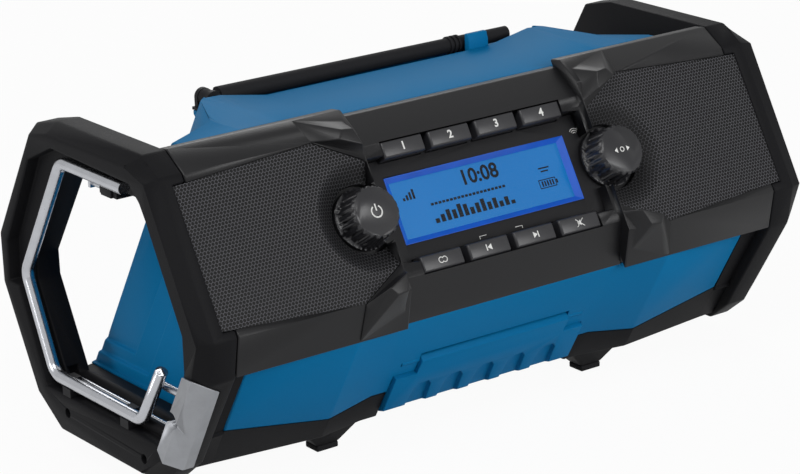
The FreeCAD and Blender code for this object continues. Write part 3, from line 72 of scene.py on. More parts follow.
MM = 0.001
PANEL_LEAN = math.radians(30)
PANEL_CENTRE = Vector((0, -67.0, 121.0)) * MM
KNOB_X = 71.8 * MM
KEY_PITCH = 26.9
KEY_UP = 27.75
KEY_FACE = -3.1
SCREEN_OUT = -13.2
PANEL_MARK_OUT = -9.45
KNOB_MARK_OUT = 5.84
# Where the painted shade in the dish round a knob starts and ends, from the knob's axis
KNOB_SHADE_FROM, KNOB_SHADE_TO = 21.0 * MM, 27.5 * MM
# Shares of white that the floor shows and that a gloss picks up, and the light of the surround
FLOOR_SHARE, MIRROR_SHARE, FILL_LIGHT = 0.95, 0.55, 0.18
CAMERA_LENS = 131.3
CAMERA_PLACE = (-0.7874, -1.0923, 0.5168)
CAMERA_RIGHT = Vector((0.8067, -0.5899, -0.0362))
CAMERA_BACK = Vector((-0.5522, -0.7742, 0.3094))


class RadioSizes(bpy.types.PropertyGroup):
    """Sizes that set how the radio is finished."""

    shell_edge: FloatProperty(
        name="Shell edge", description="Radius of the moulded edges of the shell",
        default=1.0 * MM, unit="LENGTH")
    trim_edge: FloatProperty(
        name="Trim edge", description="Radius of the edges of keys, knobs and trim",
        default=0.35 * MM, unit="LENGTH")
    hole_pitch: FloatProperty(
        name="Hole pitch", description="Spacing of the holes in the grilles", default=1.8 * MM, unit="LENGTH")
    grain: FloatProperty(
        name="Grain", description="Width of a grain of the moulded texture", default=0.55 * MM, unit="LENGTH")
    print_high: FloatProperty(
        name="Print height", description="Thickness of the printed marks", default=0.08 * MM, unit="LENGTH")


class RadioColours(bpy.types.PropertyGroup):
    """Colours of the radio, as sRGB hex values."""

    shell: StringProperty(name="Shell", description="Blue of the shell", default="#0a70a4")
    body: StringProperty(name="Body", description="Black of the loops and the base", default="#161618")
    front: StringProperty(name="Front", description="Charcoal of the front frame", default="#131315")
    screen: StringProperty(name="Screen", description="Blue of the lit screen", default="#1d86d2")
    marks: StringProperty(name="Marks", description="White of the printed marks", default="#e9e9e6")


def sizes():
    return bpy.context.scene.radio_sizes


def colours():
    return bpy.context.scene.radio_colours


def linear(code, alpha=1.0):
    """An sRGB hex value as linear colour."""
    parts = [int(code[index:index + 2], 16) / 255 for index in (1, 3, 5)]
    return [part / 12.92 if part <= 0.04045 else ((part + 0.055) / 1.055) ** 2.4 for part in parts] + [alpha]


def add_node(tree, kind, settings=None, **inputs):
    """Adds a node with its settings; an input takes a value or another node's output."""
    node = tree.nodes.new(kind)
    for key, value in (settings or {}).items():
        setattr(node, key, value)
    for key, value in inputs.items():
        name = key.replace("_", " ")
        socket = node.inputs[int(key[1:])] if key[0] == "i" and key[1:].isdigit() else node.inputs[name]
        if isinstance(value, bpy.types.NodeSocket):
            tree.links.new(value, socket)
        else:
            socket.default_value = value
    return node


def start_material(name, **shader):
    """A material with its shader; returns the material, its tree and the shader."""
    made = bpy.data.materials.new(name)
    made.use_nodes = True
    tree = made.node_tree
    tree.nodes.clear()
    surface = add_node(tree, "ShaderNodeBsdfPrincipled", None, **shader)
    add_node(tree, "ShaderNodeOutputMaterial", None, Surface=surface.outputs[0])
    return made, tree, surface


def object_place(tree):
    return add_node(tree, "ShaderNodeTexCoord").outputs["Object"]


def two_tone(tree, factor, dark, light):
    """A colour between two, by a factor."""
    mix = add_node(tree, "ShaderNodeMix", {"data_type": "RGBA"}, i0=factor)
    mix.inputs[6].default_value = dark
    mix.inputs[7].default_value = light
    return mix.outputs[2]


def shade_of(code, share):
    """A lighter or darker linear colour."""
    return [min(1.0, part * share) for part in linear(code)[:3]] + [1.0]


def moulded_plastic(name, code, grain, depth, roughness, spread=0.10, gloss=0.16):
    """ABS moulded in a spark eroded tool: a fine pebble that breaks up the highlight."""
    made, tree, surface = start_material(name, Specular_IOR_Level=gloss)
    place = object_place(tree)
    pebble = add_node(tree, "ShaderNodeTexNoise", None,
                      Vector=place, Scale=1.0 / grain, Detail=2.0, Roughness=0.55)
    cloud = add_node(tree, "ShaderNodeTexNoise", None, Vector=place, Scale=22.0, Detail=3.0)
    tone = add_node(tree, "ShaderNodeMath", {"operation": "MULTIPLY_ADD"},
                    i0=pebble.outputs[0], i1=0.75, i2=0.0)
    both = add_node(tree, "ShaderNodeMath", {"operation": "MULTIPLY_ADD"},
                    i0=cloud.outputs[0], i1=0.25, i2=tone.outputs[0])
    colour = two_tone(tree, both.outputs[0], shade_of(code, 1 - spread * 2), shade_of(code, 1 + spread * 2))
    tree.links.new(colour, surface.inputs["Base Color"])
    rough = add_node(tree, "ShaderNodeMapRange", None,
                     Value=cloud.outputs[0], To_Min=roughness - 0.05, To_Max=roughness + 0.07)
    tree.links.new(rough.outputs[0], surface.inputs["Roughness"])
    bump = add_node(tree, "ShaderNodeBump", None,
                    Height=pebble.outputs[0], Strength=depth, Distance=grain * 0.3)
    tree.links.new(bump.outputs[0], surface.inputs["Normal"])
    return made


def rubber(name, code):
    """Moulded rubber: dull and slightly dusty."""
    made, tree, surface = start_material(name, Specular_IOR_Level=0.15)
    place = object_place(tree)
    dust = add_node(tree, "ShaderNodeTexNoise", None, Vector=place, Scale=900.0, Detail=3.0)
    colour = two_tone(tree, dust.outputs[0], shade_of(code, 0.8), shade_of(code, 1.3))
    tree.links.new(colour, surface.inputs["Base Color"])
    surface.inputs["Roughness"].default_value = 0.72
    bump = add_node(tree, "ShaderNodeBump", None, Height=dust.outputs[0], Strength=0.15, Distance=0.0002)
    tree.links.new(bump.outputs[0], surface.inputs["Normal"])
    return made


def plated_steel(name, code, roughness, stretch, depth=0.12):
    """Zinc or nickel plated steel: fine lines of drawing or brushing along the piece."""
    made, tree, surface = start_material(name, Metallic=1.0)
    place = object_place(tree)
    along = add_node(tree, "ShaderNodeMapping", None, Vector=place, Scale=stretch)
    lines = add_node(tree, "ShaderNodeTexNoise", None, Vector=along.outputs[0], Scale=1.0, Detail=3.0)
    blotch = add_node(tree, "ShaderNodeTexNoise", None, Vector=place, Scale=120.0, Detail=2.0)
    colour = two_tone(tree, blotch.outputs[0], shade_of(code, 0.86), shade_of(code, 1.1))
    tree.links.new(colour, surface.inputs["Base Color"])
    rough = add_node(tree, "ShaderNodeMapRange", None,
                     Value=lines.outputs[0], To_Min=roughness - 0.06, To_Max=roughness + 0.08)
    tree.links.new(rough.outputs[0], surface.inputs["Roughness"])
    bump = add_node(tree, "ShaderNodeBump", None, Height=lines.outputs[0], Strength=depth, Distance=0.0001)
    tree.links.new(bump.outputs[0], surface.inputs["Normal"])
    return made


def perforated_sheet(name, side):
    """Painted steel punched with staggered holes, with painted shade darkening it towards the knob."""
    made, tree, surface = start_material(name, Specular_IOR_Level=0.2)
    place = object_place(tree)
    centre = (side * KNOB_X, PANEL_CENTRE.y, PANEL_CENTRE.z)
    moved = add_node(tree, "ShaderNodeVectorMath", {"operation": "SUBTRACT"}, i0=place, i1=centre)
    turned = add_node(tree, "ShaderNodeVectorRotate", {"rotation_type": "X_AXIS"},
                      Vector=moved.outputs[0], Angle=-(math.pi / 2 - PANEL_LEAN))
    flat = add_node(tree, "ShaderNodeVectorMath", {"operation": "MULTIPLY"},
                    i0=turned.outputs[0], i1=(1, 1, 0))
    pitch = sizes().hole_pitch
    cell = (pitch, pitch * math.sqrt(3), 1.0)
    near = []
    for shift in ((0, 0, 0), (cell[0] / 2, cell[1] / 2, 0)):
        shifted = add_node(tree, "ShaderNodeVectorMath", {"operation": "ADD"}, i0=flat.outputs[0], i1=shift)
        half = [size / 2 for size in cell]
        wrapped = add_node(tree, "ShaderNodeVectorMath", {"operation": "WRAP"},
                           i0=shifted.outputs[0], i1=half, i2=[-size for size in half])
        length = add_node(tree, "ShaderNodeVectorMath", {"operation": "LENGTH"}, i0=wrapped.outputs[0])
        near.append(length.outputs["Value"])
    nearest = add_node(tree, "ShaderNodeMath", {"operation": "MINIMUM"}, i0=near[0], i1=near[1])
    web = add_node(tree, "ShaderNodeMapRange", {"interpolation_type": "SMOOTHSTEP"}, Value=nearest.outputs[0],
                   From_Min=pitch * 0.40, From_Max=pitch * 0.47)
    # Painted shade: the grille's colour darkens to 0.4 towards the knob, standing in for the shade in the
    # dish round it
    reach = add_node(tree, "ShaderNodeVectorMath", {"operation": "LENGTH"}, i0=flat.outputs[0])
    painted_knob_shade = add_node(tree, "ShaderNodeMapRange", {"interpolation_type": "SMOOTHSTEP"},
                    Value=reach.outputs["Value"], From_Min=KNOB_SHADE_FROM, From_Max=KNOB_SHADE_TO,
                    To_Min=0.40, To_Max=1.0)
    lit = add_node(tree, "ShaderNodeMath", {"operation": "MULTIPLY"}, i0=web.outputs[0], i1=painted_knob_shade.outputs[0])
    colour = two_tone(tree, lit.outputs[0], linear("#030304"), linear("#56565a"))
    tree.links.new(colour, surface.inputs["Base Color"])
    surface.inputs["Roughness"].default_value = 0.5
    bump = add_node(tree, "ShaderNodeBump", None, Height=web.outputs[0], Strength=0.6, Distance=0.0005)
    tree.links.new(bump.outputs[0], surface.inputs["Normal"])
    return made


def lit_screen(name):
    """The lit face of a liquid crystal screen: nearly even blue with a faint grid of cells."""
    made, tree, surface = start_material(name, Roughness=0.35, Specular_IOR_Level=0.1)
    place = object_place(tree)
    code = colours().screen
    cloud = add_node(tree, "ShaderNodeTexNoise", None, Vector=place, Scale=18.0, Detail=1.0)
    cells = add_node(tree, "ShaderNodeTexVoronoi", {"distance": "CHEBYCHEV"},
                     Vector=place, Scale=1500.0, Randomness=0.0)
    colour = two_tone(tree, cloud.outputs[0], shade_of(code, 0.92), shade_of(code, 1.08))
    grid = add_node(tree, "ShaderNodeMix", {"data_type": "RGBA", "blend_type": "MULTIPLY"}, i0=0.06)
    tree.links.new(colour, grid.inputs[6])
    tree.links.new(cells.outputs[0], grid.inputs[7])
    tree.links.new(grid.outputs[2], surface.inputs["Emission Color"])
    surface.inputs["Emission Strength"].default_value = 0.72
    surface.inputs["Base Color"].default_value = shade_of(code, 0.1)
    return made


def lit_surround(name):
    """Deep blue gloss plastic round the screen, with a painted glow for the screen's light on it."""
    made, tree, surface = start_material(name, Roughness=0.25)
    place = object_place(tree)
    cloud = add_node(tree, "ShaderNodeTexNoise", None, Vector=place, Scale=60.0, Detail=1.0)
    colour = two_tone(tree, cloud.outputs[0], linear("#0f3f94"), linear("#1a56bc"))
    tree.links.new(colour, surface.inputs["Base Color"])
    tree.links.new(colour, surface.inputs["Emission Color"])
    # Painted light: an even glow on the plastic stands in for the light the screen throws on the surround
    surface.inputs["Emission Strength"].default_value = 0.34
    return made


def clear_window(name):
    """Clear acrylic: nearly unseen apart from a weak gloss."""
    made = bpy.data.materials.new(name)
    made.use_nodes = True
    tree = made.node_tree
    tree.nodes.clear()
    through = add_node(tree, "ShaderNodeBsdfTransparent", None, Color=linear("#f4f8fc"))
    place = object_place(tree)
    smear = add_node(tree, "ShaderNodeTexNoise", None, Vector=place, Scale=40.0, Detail=2.0)
    rough = add_node(tree, "ShaderNodeMapRange", None, Value=smear.outputs[0], To_Min=0.08, To_Max=0.2)
    gloss = add_node(tree, "ShaderNodeBsdfGlossy", None, Roughness=rough.outputs[0])
    mix = add_node(tree, "ShaderNodeMixShader", None, i0=0.02, i1=through.outputs[0], i2=gloss.outputs[0])
    add_node(tree, "ShaderNodeOutputMaterial", None, Surface=mix.outputs[0])
    return made


def screen_ink(name):
    """Dark liquid crystal: near black with a slightly blue cast."""
    made, tree, surface = start_material(name, Roughness=0.5, Specular_IOR_Level=0.05)
    place = object_place(tree)
    cloud = add_node(tree, "ShaderNodeTexNoise", None, Vector=place, Scale=300.0)
    colour = two_tone(tree, cloud.outputs[0], linear("#02060c"), linear("#050e18"))
    tree.links.new(colour, surface.inputs["Base Color"])
    return made


def pad_print(name, code):
    """Pad printed ink: opaque and dull, a little uneven."""
    made, tree, surface = start_material(name, Roughness=0.55)
    place = object_place(tree)
    cloud = add_node(tree, "ShaderNodeTexNoise", None, Vector=place, Scale=700.0, Detail=2.0)
    colour = two_tone(tree, cloud.outputs[0], shade_of(code, 0.86), shade_of(code, 1.02))
    tree.links.new(colour, surface.inputs["Base Color"])
    return made


def paper_cone(name):
    """Pressed paper pulp: matt with short fibres."""
    made, tree, surface = start_material(name, Roughness=0.9)
    place = object_place(tree)
    fibre = add_node(tree, "ShaderNodeTexNoise", None, Vector=place, Scale=1400.0, Detail=4.0)
    colour = two_tone(tree, fibre.outputs[0], linear("#1b1a19"), linear("#3a3836"))
    tree.links.new(colour, surface.inputs["Base Color"])
    return made


def circuit_board(name):
    """Glass fibre board under green solder mask, with faint tracks."""
    made, tree, surface = start_material(name, Roughness=0.35)
    place = object_place(tree)
    tracks = add_node(tree, "ShaderNodeTexVoronoi", {"distance": "MANHATTAN", "feature": "F2"},
                      Vector=place, Scale=220.0)
    colour = two_tone(tree, tracks.outputs[0], linear("#14452b"), linear("#24704a"))
    tree.links.new(colour, surface.inputs["Base Color"])
    return made


FINISH = {}


def make_finishes():
    """Every finish of the radio, each named for the real one."""
    hue = colours()
    grain = sizes().grain
    # The real grain is finer than a picture shows, so it is drawn coarser, at the size in the panel
    # Blue ABS with a fine spark texture, a soft broad highlight
    FINISH["blue"] = moulded_plastic("blue_abs_spark_texture", hue.shell, grain, 0.22, 0.50, 0.07, 0.05)
    # Black glass filled plastic, the coarsest grain, dull grey where light grazes
    FINISH["black"] = moulded_plastic(
        "black_coarse_moulded_plastic", hue.body, grain * 1.3, 0.40, 0.52, 0.16, 0.08)
    # Charcoal front frame, finer than the loops
    FINISH["front"] = moulded_plastic(
        "charcoal_fine_moulded_plastic", hue.front, grain, 0.26, 0.38, 0.14, 0.34)
    # Smooth dark control panel
    FINISH["panel"] = moulded_plastic("dark_satin_panel_plastic", "#1c1c1e", grain * 0.7, 0.10, 0.42, 0.06)
    # Keys and knobs with a satin skin
    FINISH["key"] = moulded_plastic("black_satin_key_plastic", "#29292c", grain * 0.6, 0.10, 0.32, 0.06, 0.5)
    FINISH["knob"] = moulded_plastic(
        "black_satin_knob_plastic", "#232326", grain * 0.6, 0.08, 0.32, 0.05, 0.5)
    FINISH["inner"] = moulded_plastic("black_plain_moulded_plastic", "#1b1b1d", grain, 0.15, 0.55, 0.08)
    FINISH["pack"] = moulded_plastic("black_battery_case_plastic", "#26262a", grain, 0.30, 0.5, 0.12)
    FINISH["grey"] = moulded_plastic("grey_terminal_plastic", "#55575a", grain, 0.1, 0.5, 0.05)
    FINISH["rubber"] = rubber("black_moulded_rubber", "#1d1d1f")
    # Bright zinc on a drawn rod
    FINISH["hook"] = plated_steel("zinc_plated_drawn_rod", "#c9cbd0", 0.24, (2600, 260, 260))
    # Matt nickel on pressed sheet
    FINISH["corner"] = plated_steel("matt_nickel_pressed_sheet", "#a2a4a8", 0.50, (900, 900, 900), 0.2)
    FINISH["screw"] = plated_steel("black_oxide_screw_steel", "#5c5d60", 0.38, (1500, 1500, 1500))
    FINISH["pin"] = plated_steel("turned_steel_pin", "#bcbec2", 0.25, (300, 3000, 3000))
    FINISH["basket"] = plated_steel("painted_pressed_basket", "#45474b", 0.5, (800, 800, 800))
    FINISH["brass"] = plated_steel("tinned_brass_blade", "#c7a765", 0.3, (2000, 200, 2000))
    FINISH["alloy"] = plated_steel("extruded_aluminium", "#b3b6ba", 0.38, (200, 2500, 2500))
    FINISH["magnet"] = moulded_plastic("sintered_ferrite", "#37383a", grain * 1.5, 0.3, 0.6, 0.2)
    FINISH["cone"] = paper_cone("pressed_paper_cone")
    FINISH["board"] = circuit_board("green_circuit_board")
    FINISH["screen"] = lit_screen("lit_liquid_crystal")
    FINISH["surround"] = lit_surround("blue_surround_painted_glow")
    FINISH["window"] = clear_window("clear_acrylic_window")
    FINISH["ink"] = screen_ink("liquid_crystal_ink")
    FINISH["marks"] = pad_print("white_pad_print", hue.marks)
    FINISH["grille_left"] = perforated_sheet("painted_perforated_steel_left", -1)
    FINISH["grille_right"] = perforated_sheet("painted_perforated_steel_right", 1)


# Hand tools
def deselect():
    if bpy.context.object and bpy.context.object.mode != "OBJECT":
        bpy.ops.object.mode_set(mode="OBJECT")
    bpy.ops.object.select_all(action="DESELECT")


def pick(thing):
    deselect()
    thing.select_set(True)
    bpy.context.view_layer.objects.active = thing
    return thing


def coat(thing, finish):
    """Gives a thing one finish all over."""
    thing.data.materials.clear()
    thing.data.materials.append(FINISH[finish])
    return thing


def finish_node(node, finish):
    """A solid whose shape is right gets its finish."""
    thing = frame["nodes"][node]
    if not thing.material_slots:
        thing.data.materials.append(FINISH[finish])
    for slot in thing.material_slots:
        slot.material = FINISH[finish]


BODY_OF = {node: body for body, held in frame["record"]["behaviour"]["bodies"].items() for node in held}


def soften(node, finish, radius, angle=28, segments=2, beside=None):
    """Stands a copy of a solid in its place, with its sharp edges rounded as a mould leaves them."""
    pick(frame["nodes"][node])
    bpy.ops.object.duplicate()
    piece = bpy.context.object
    bpy.ops.object.parent_clear(type="CLEAR_KEEP_TRANSFORM")
    bpy.ops.object.transform_apply()
    piece.name = node + "_look"
    coat(piece, finish)
    bpy.ops.object.mode_set(mode="EDIT")
    bpy.ops.mesh.select_all(action="SELECT")
    bpy.ops.mesh.remove_doubles(threshold=0.000005)
    bpy.ops.mesh.dissolve_limited(angle_limit=math.radians(1.0))
    bpy.ops.object.mode_set(mode="OBJECT")
    round_edges(piece, radius, angle, segments, beside)
    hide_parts(node)
    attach(piece, BODY_OF[node])
    return piece


def room_beside(edge):
    """How far the faces of an edge reach away from it at its ends."""
    along = (edge.verts[1].co - edge.verts[0].co).normalized()
    reach = []
    for corner in edge.verts:
        for other in corner.link_edges:
            if other != edge and any(face in edge.link_faces for face in other.link_faces):
                reach.append((other.other_vert(corner).co - corner.co).cross(along).length)
    return min(reach)


def is_beside(edge, node):
    """Whether the middle of an edge lies within a few millimetres of a solid's box."""
    middle = (edge.verts[0].co + edge.verts[1].co) / 2
    low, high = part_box(node)
    return all(low[axis] - 4 * MM < middle[axis] < high[axis] + 4 * MM for axis in range(3))


def round_edges(piece, radius, angle=28, segments=2, beside=None):
    """Rounds the edges that are sharper than an angle and have room; those beside a moving piece stay."""
    pick(piece)
    shape = bmesh.new()
    shape.from_mesh(piece.data)
    layer = shape.edges.layers.float.new("bevel_weight_edge")
    for edge in shape.edges:
        sharp = len(edge.link_faces) == 2 and edge.calc_face_angle() > math.radians(angle)
        close = beside is not None and is_beside(edge, beside)
        if sharp and not close and edge.calc_length() > 2 * radius and room_beside(edge) > 1.6 * radius:
            edge[layer] = 1.0
    shape.to_mesh(piece.data)
    shape.free()
    bevel = piece.modifiers.new("edge", "BEVEL")
    bevel.width = radius
    bevel.segments = segments
    bevel.limit_method = "WEIGHT"
    bevel.use_clamp_overlap = False
    bpy.ops.object.modifier_apply(modifier=bevel.name)
    bpy.ops.object.shade_smooth_by_angle(angle=math.radians(40))


def on_panel(x, up, out):
    """The place and lean of a point on the front panel, in millimetres from its centre."""
    turn = Matrix.Rotation(math.pi / 2 - PANEL_LEAN, 4, "X")
    return Matrix.Translation(PANEL_CENTRE) @ turn @ Matrix.Translation(Vector((x, up, out)) * MM)


def lay(piece, matrix):
    """Puts a flat piece in its place and fixes the place in its mesh."""
    pick(piece)
    piece.matrix_world = matrix @ piece.matrix_world
    bpy.ops.object.transform_apply(location=True, rotation=True, scale=True)
    return piece


def words(text, tall, weight=0.0):
    """Plain figures as a thin printed mesh, centred, in millimetres."""
    deselect()
    bpy.ops.object.text_add()
    piece = bpy.context.object
    piece.data.body = text
    piece.data.size = tall * 1.37 * MM
    piece.data.offset = weight * MM
    piece.data.extrude = sizes().print_high / 2
    piece.data.resolution_u = 3
    piece.data.align_x = "CENTER"
    piece.data.align_y = "CENTER"
    bpy.ops.object.convert(target="MESH")
    return bpy.context.object


def stroke(points, width, closed=False):
    """A thin printed line through points in millimetres."""
    deselect()
    bpy.ops.curve.primitive_bezier_curve_add()
    piece = bpy.context.object
    piece.data.splines.clear()
    line = piece.data.splines.new("POLY")
    line.points.add(len(points) - 1)
    for spot, (x, y) in zip(line.points, points):
        spot.co = (x * MM, y * MM, 0, 1)
    line.use_cyclic_u = closed
    piece.data.dimensions = "3D"
    piece.data.bevel_depth = width / 2 * MM
    piece.data.bevel_resolution = 1
    piece.data.use_fill_caps = True
    bpy.ops.object.convert(target="MESH")
    bpy.ops.transform.resize(value=(1, 1, sizes().print_high / (width * MM)), center_override=(0, 0, 0))
    bpy.ops.object.transform_apply()
    return bpy.context.object


def block(x, y, wide, tall, corners=4, turn=0.0):
    """A thin printed block or, with three corners, an arrow head."""
    deselect()
    radius = 0.5 if corners == 3 else math.sqrt(0.5)
    angle = turn + (0 if corners == 3 else math.pi / 4)
    bpy.ops.mesh.primitive_cylinder_add(vertices=corners, radius=radius, depth=1)
    piece = bpy.context.object
    bpy.ops.object.mode_set(mode="EDIT")
    bpy.ops.transform.rotate(value=-angle, orient_axis="Z", center_override=(0, 0, 0))
    bpy.ops.object.mode_set(mode="OBJECT")
    piece.scale = (wide * MM, tall * MM, sizes().print_high)
    piece.location = (x * MM, y * MM, 0)
    bpy.ops.object.transform_apply()
    return piece


def arc(radius, start, end, steps=20):
    turns = [math.radians(start + (end - start) * step / steps) for step in range(steps + 1)]
    return [(radius * math.cos(turn), radius * math.sin(turn)) for turn in turns]


def as_mark(parts, name, matrix, body, finish="marks"):
    """Joins printed parts into one mark and lays it on its face."""
    pick(parts[0])
    for part in parts:
        part.select_set(True)
    if len(parts) > 1:
        bpy.ops.object.join()
    piece = bpy.context.object
    piece.name = name
    lay(piece, matrix)
    coat(piece, finish)
    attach(piece, body)
    return piece


# One operator for each piece or group of like pieces
class RadioOperator:
    bl_options = {"REGISTER"}


class RADIO_OT_shell(RadioOperator, bpy.types.Operator):
    """Finishes the blue shell and its rear cover"""

    bl_idname = "radio.shell"
    bl_label = "Shell"

    def execute(self, context):
        edge = sizes().shell_edge
        soften("main_housing", "blue", edge, 14, beside="socket_flap")
        soften("rear_cover", "blue", sizes().trim_edge)
        return {"FINISHED"}


class RADIO_OT_loops(RadioOperator, bpy.types.Operator):
    """Finishes the two loop handles"""

    bl_idname = "radio.loops"
    bl_label = "Loop handles"

    def execute(self, context):
        for side in ("left", "right"):
            soften("end_ring_" + side, "black", sizes().shell_edge * 0.9, 12)
        return {"FINISHED"}


class RADIO_OT_front(RadioOperator, bpy.types.Operator):
    """Finishes the front frame and the control panel"""

    bl_idname = "radio.front"
    bl_label = "Front frame"

    def execute(self, context):
        soften("front_frame", "front", sizes().shell_edge * 0.7, 12)
        soften("control_panel", "panel", sizes().trim_edge)
        brackets = []
        for side in (-1, 1):
            points = [(side * 12.5, -22.2), (side * 12.5, -20.9), (side * 8.5, -20.9)]
            brackets.append(stroke(points, 0.35))
        as_mark(brackets, "scan_brackets", on_panel(0, 0, PANEL_MARK_OUT), "housing")
        wedge = [block(0, 0, 4.2, 1.7, 3, math.pi / 2)]
        as_mark(wedge, "volume_wedge", on_panel(-60.5, 16.5, PANEL_MARK_OUT), "housing")
        waves = [stroke(arc(radius, 35, 145, 10), 0.3) for radius in (1.0, 2.0, 3.0)]
        as_mark(waves, "tuning_waves", on_panel(59.8, 15.0, PANEL_MARK_OUT), "housing")
        return {"FINISHED"}


class RADIO_OT_grilles(RadioOperator, bpy.types.Operator):
    """Finishes the perforated grilles"""

    bl_idname = "radio.grilles"
    bl_label = "Grilles"

    def execute(self, context):
        for side in ("left", "right"):
            finish_node("speaker_grille_" + side, "grille_" + side)
        return {"FINISHED"}


class RADIO_OT_display(RadioOperator, bpy.types.Operator):
    """Finishes the screen and draws plain figures and bars on it"""

    bl_idname = "radio.display"
    bl_label = "Display"

    def execute(self, context):
        finish_node("display_surround", "surround")
        finish_node("display_lens", "window")
        finish_node("lcd_module", "screen")
        parts = [lay(words("10:08", 7.4, 0.24), Matrix.Translation(Vector((1.5, 7.6, 0)) * MM))]
        for index, high in enumerate((2.2, 3.6, 5.2, 4.4, 6.4, 5.6, 3.4, 4.8, 6.0, 3.8, 5.0, 2.8, 4.2, 1.8)):
            parts.append(block(-29 + index * 3.4, -9.8 + high / 2, 2.3, high))
        parts += [block(-29 + index * 2.2, -0.6, 1.6, 1.2) for index in range(20)]
        parts += [block(-43 + index * 1.9, 4.6 + index * 0.55, 1.2, 1.4 + index * 1.1) for index in range(4)]
        case = [(33.0, -6.4), (42.6, -6.4), (42.6, -2.4), (33.0, -2.4)]
        parts.append(stroke(case, 0.65, closed=True))
        parts.append(block(43.4, -4.4, 0.9, 2.0))
        parts += [block(34.8 + index * 1.55, -4.4, 0.9, 2.7) for index in range(5)]
        parts += [block(38.2, 3.2, 6.4, 0.7), block(38.2, 1.6, 4.4, 0.7)]
        spot = on_panel(0, 0.4, SCREEN_OUT + 0.08)
        as_mark(parts, "screen_figures", spot, "housing", "ink")
        return {"FINISHED"}


class RADIO_OT_keys(RadioOperator, bpy.types.Operator):
    """Finishes the eight keys and prints plain figures and signs on them"""

    bl_idname = "radio.keys"
    bl_label = "Keys"

    def execute(self, context):
        columns = (-1.5, -0.5, 0.5, 1.5)
        for number, column in enumerate(columns, start=1):
            node = f"preset_button_{number}"
            soften(node, "key", sizes().trim_edge * 1.4)
            spot = on_panel(column * KEY_PITCH, KEY_UP + 0.2, KEY_FACE + 0.03)
            as_mark([words(str(number), 3.9, 0.14)], f"figure_{number}", spot, node)
        signs = {
            "link_button": lambda: [
                stroke([(x - 1.0, y) for x, y in arc(1.3, 30, 330)], 0.45),
                stroke([(x + 1.0, y) for x, y in arc(1.3, 210, 510)], 0.45)],
            "previous_button": lambda: [block(-1.7, 0, 0.55, 3.0), block(0.35, 0, 3.2, 3.4, 3, math.pi / 2)],
            "next_button": lambda: [block(1.7, 0, 0.55, 3.0), block(-0.35, 0, 3.2, 3.4, 3, -math.pi / 2)],
            "mute_button": lambda: [
                block(-0.9, 0, 1.0, 1.5), block(-0.2, 0, 2.6, 3.2, 3, math.pi / 2),
                stroke([(-2.2, 1.9), (2.2, -1.9)], 0.45), stroke([(-2.2, -1.9), (2.2, 1.9)], 0.3)],
        }
        for column, (node, sign) in zip(columns, signs.items()):
            soften(node, "key", sizes().trim_edge * 1.4)
            spot = on_panel(column * KEY_PITCH, -KEY_UP + 0.2, KEY_FACE + 0.03)
            as_mark(sign(), node + "_sign", spot, node)
        return {"FINISHED"}


class RADIO_OT_knobs(RadioOperator, bpy.types.Operator):
    """Finishes the knobs and prints a sign on each"""

    bl_idname = "radio.knobs"
    bl_label = "Knobs"

    def execute(self, context):
        for name in ("volume", "tune"):
            soften(name + "_knob", "knob", sizes().trim_edge, 25)
            finish_node(name + "_shaft", "pin")
            finish_node(name + "_encoder", "inner")
        power = [stroke(arc(2.75, 122, 418, 28), 0.75), stroke([(0, 0.3), (0, 3.6)], 0.75)]
        as_mark(power, "power_sign", on_panel(-71.8, 0, KNOB_MARK_OUT), "volume_dial")
        ways = [block(side * 3.4, 0, 2.4, 3.0, 3, -side * math.pi / 2) for side in (-1, 1)]
        ways.append(stroke(arc(1.1, 0, 330, 14), 0.5, closed=True))
        as_mark(ways, "tuning_sign", on_panel(71.8, 0, KNOB_MARK_OUT), "tune_dial")
        return {"FINISHED"}


class RADIO_OT_hook(RadioOperator, bpy.types.Operator):
    """Finishes the hanging hook and the steel round it"""

    bl_idname = "radio.hook"
    bl_label = "Hanging hook"

    def execute(self, context):
        soften("hanging_hook", "hook", 0.6 * MM, 50, 3)
        soften("steel_corner", "corner", 0.6 * MM, 20, 3)
        for node in ("hook_guide_bar", "hook_stop_pin", "hook_clip_spring"):
            finish_node(node, "hook")
        soften("hook_clip", "inner", sizes().trim_edge)
        finish_node("hook_saddles", "inner")
        return {"FINISHED"}


class RADIO_OT_aerial(RadioOperator, bpy.types.Operator):
    """Finishes the aerial, its yoke and its clip"""

    bl_idname = "radio.aerial"
    bl_label = "Aerial"

    def execute(self, context):
        soften("aerial_rod", "rubber", 0.8 * MM, 50, 3)
        soften("aerial_clip", "blue", sizes().trim_edge * 1.4)
        finish_node("aerial_yoke", "inner")
        finish_node("aerial_pin", "pin")
        return {"FINISHED"}


class RADIO_OT_flap(RadioOperator, bpy.types.Operator):
    """Finishes the socket flap and what it covers"""

    bl_idname = "radio.flap"
    bl_label = "Socket flap"

    def execute(self, context):
        soften("socket_flap", "blue", sizes().shell_edge * 0.4, 24)
        finish_node("flap_hinge_pin", "blue")
        finish_node("socket_tray", "inner")
        finish_node("sockets", "inner")
        return {"FINISHED"}


class RADIO_OT_base(RadioOperator, bpy.types.Operator):
    """Finishes the base, its feet and its screws"""

    bl_idname = "radio.base"
    bl_label = "Base"

    def execute(self, context):
        soften("base_frame", "black", sizes().shell_edge * 0.7, 14)
        soften("foot_pads", "rubber", 0.6 * MM)
        for node in ("base_screws", "loop_screws", "rear_screws"):
            finish_node(node, "screw")
        return {"FINISHED"}


class RADIO_OT_battery(RadioOperator, bpy.types.Operator):
    """Finishes the battery pack, its bay and its terminals"""

    bl_idname = "radio.battery"
    bl_label = "Battery pack"

    def execute(self, context):
        soften("battery_pack", "pack", sizes().shell_edge)
        soften("battery_release", "blue", sizes().trim_edge * 1.6)
        finish_node("battery_bay", "inner")
        finish_node("terminal_block", "grey")
        finish_node("terminal_blades", "brass")
        return {"FINISHED"}


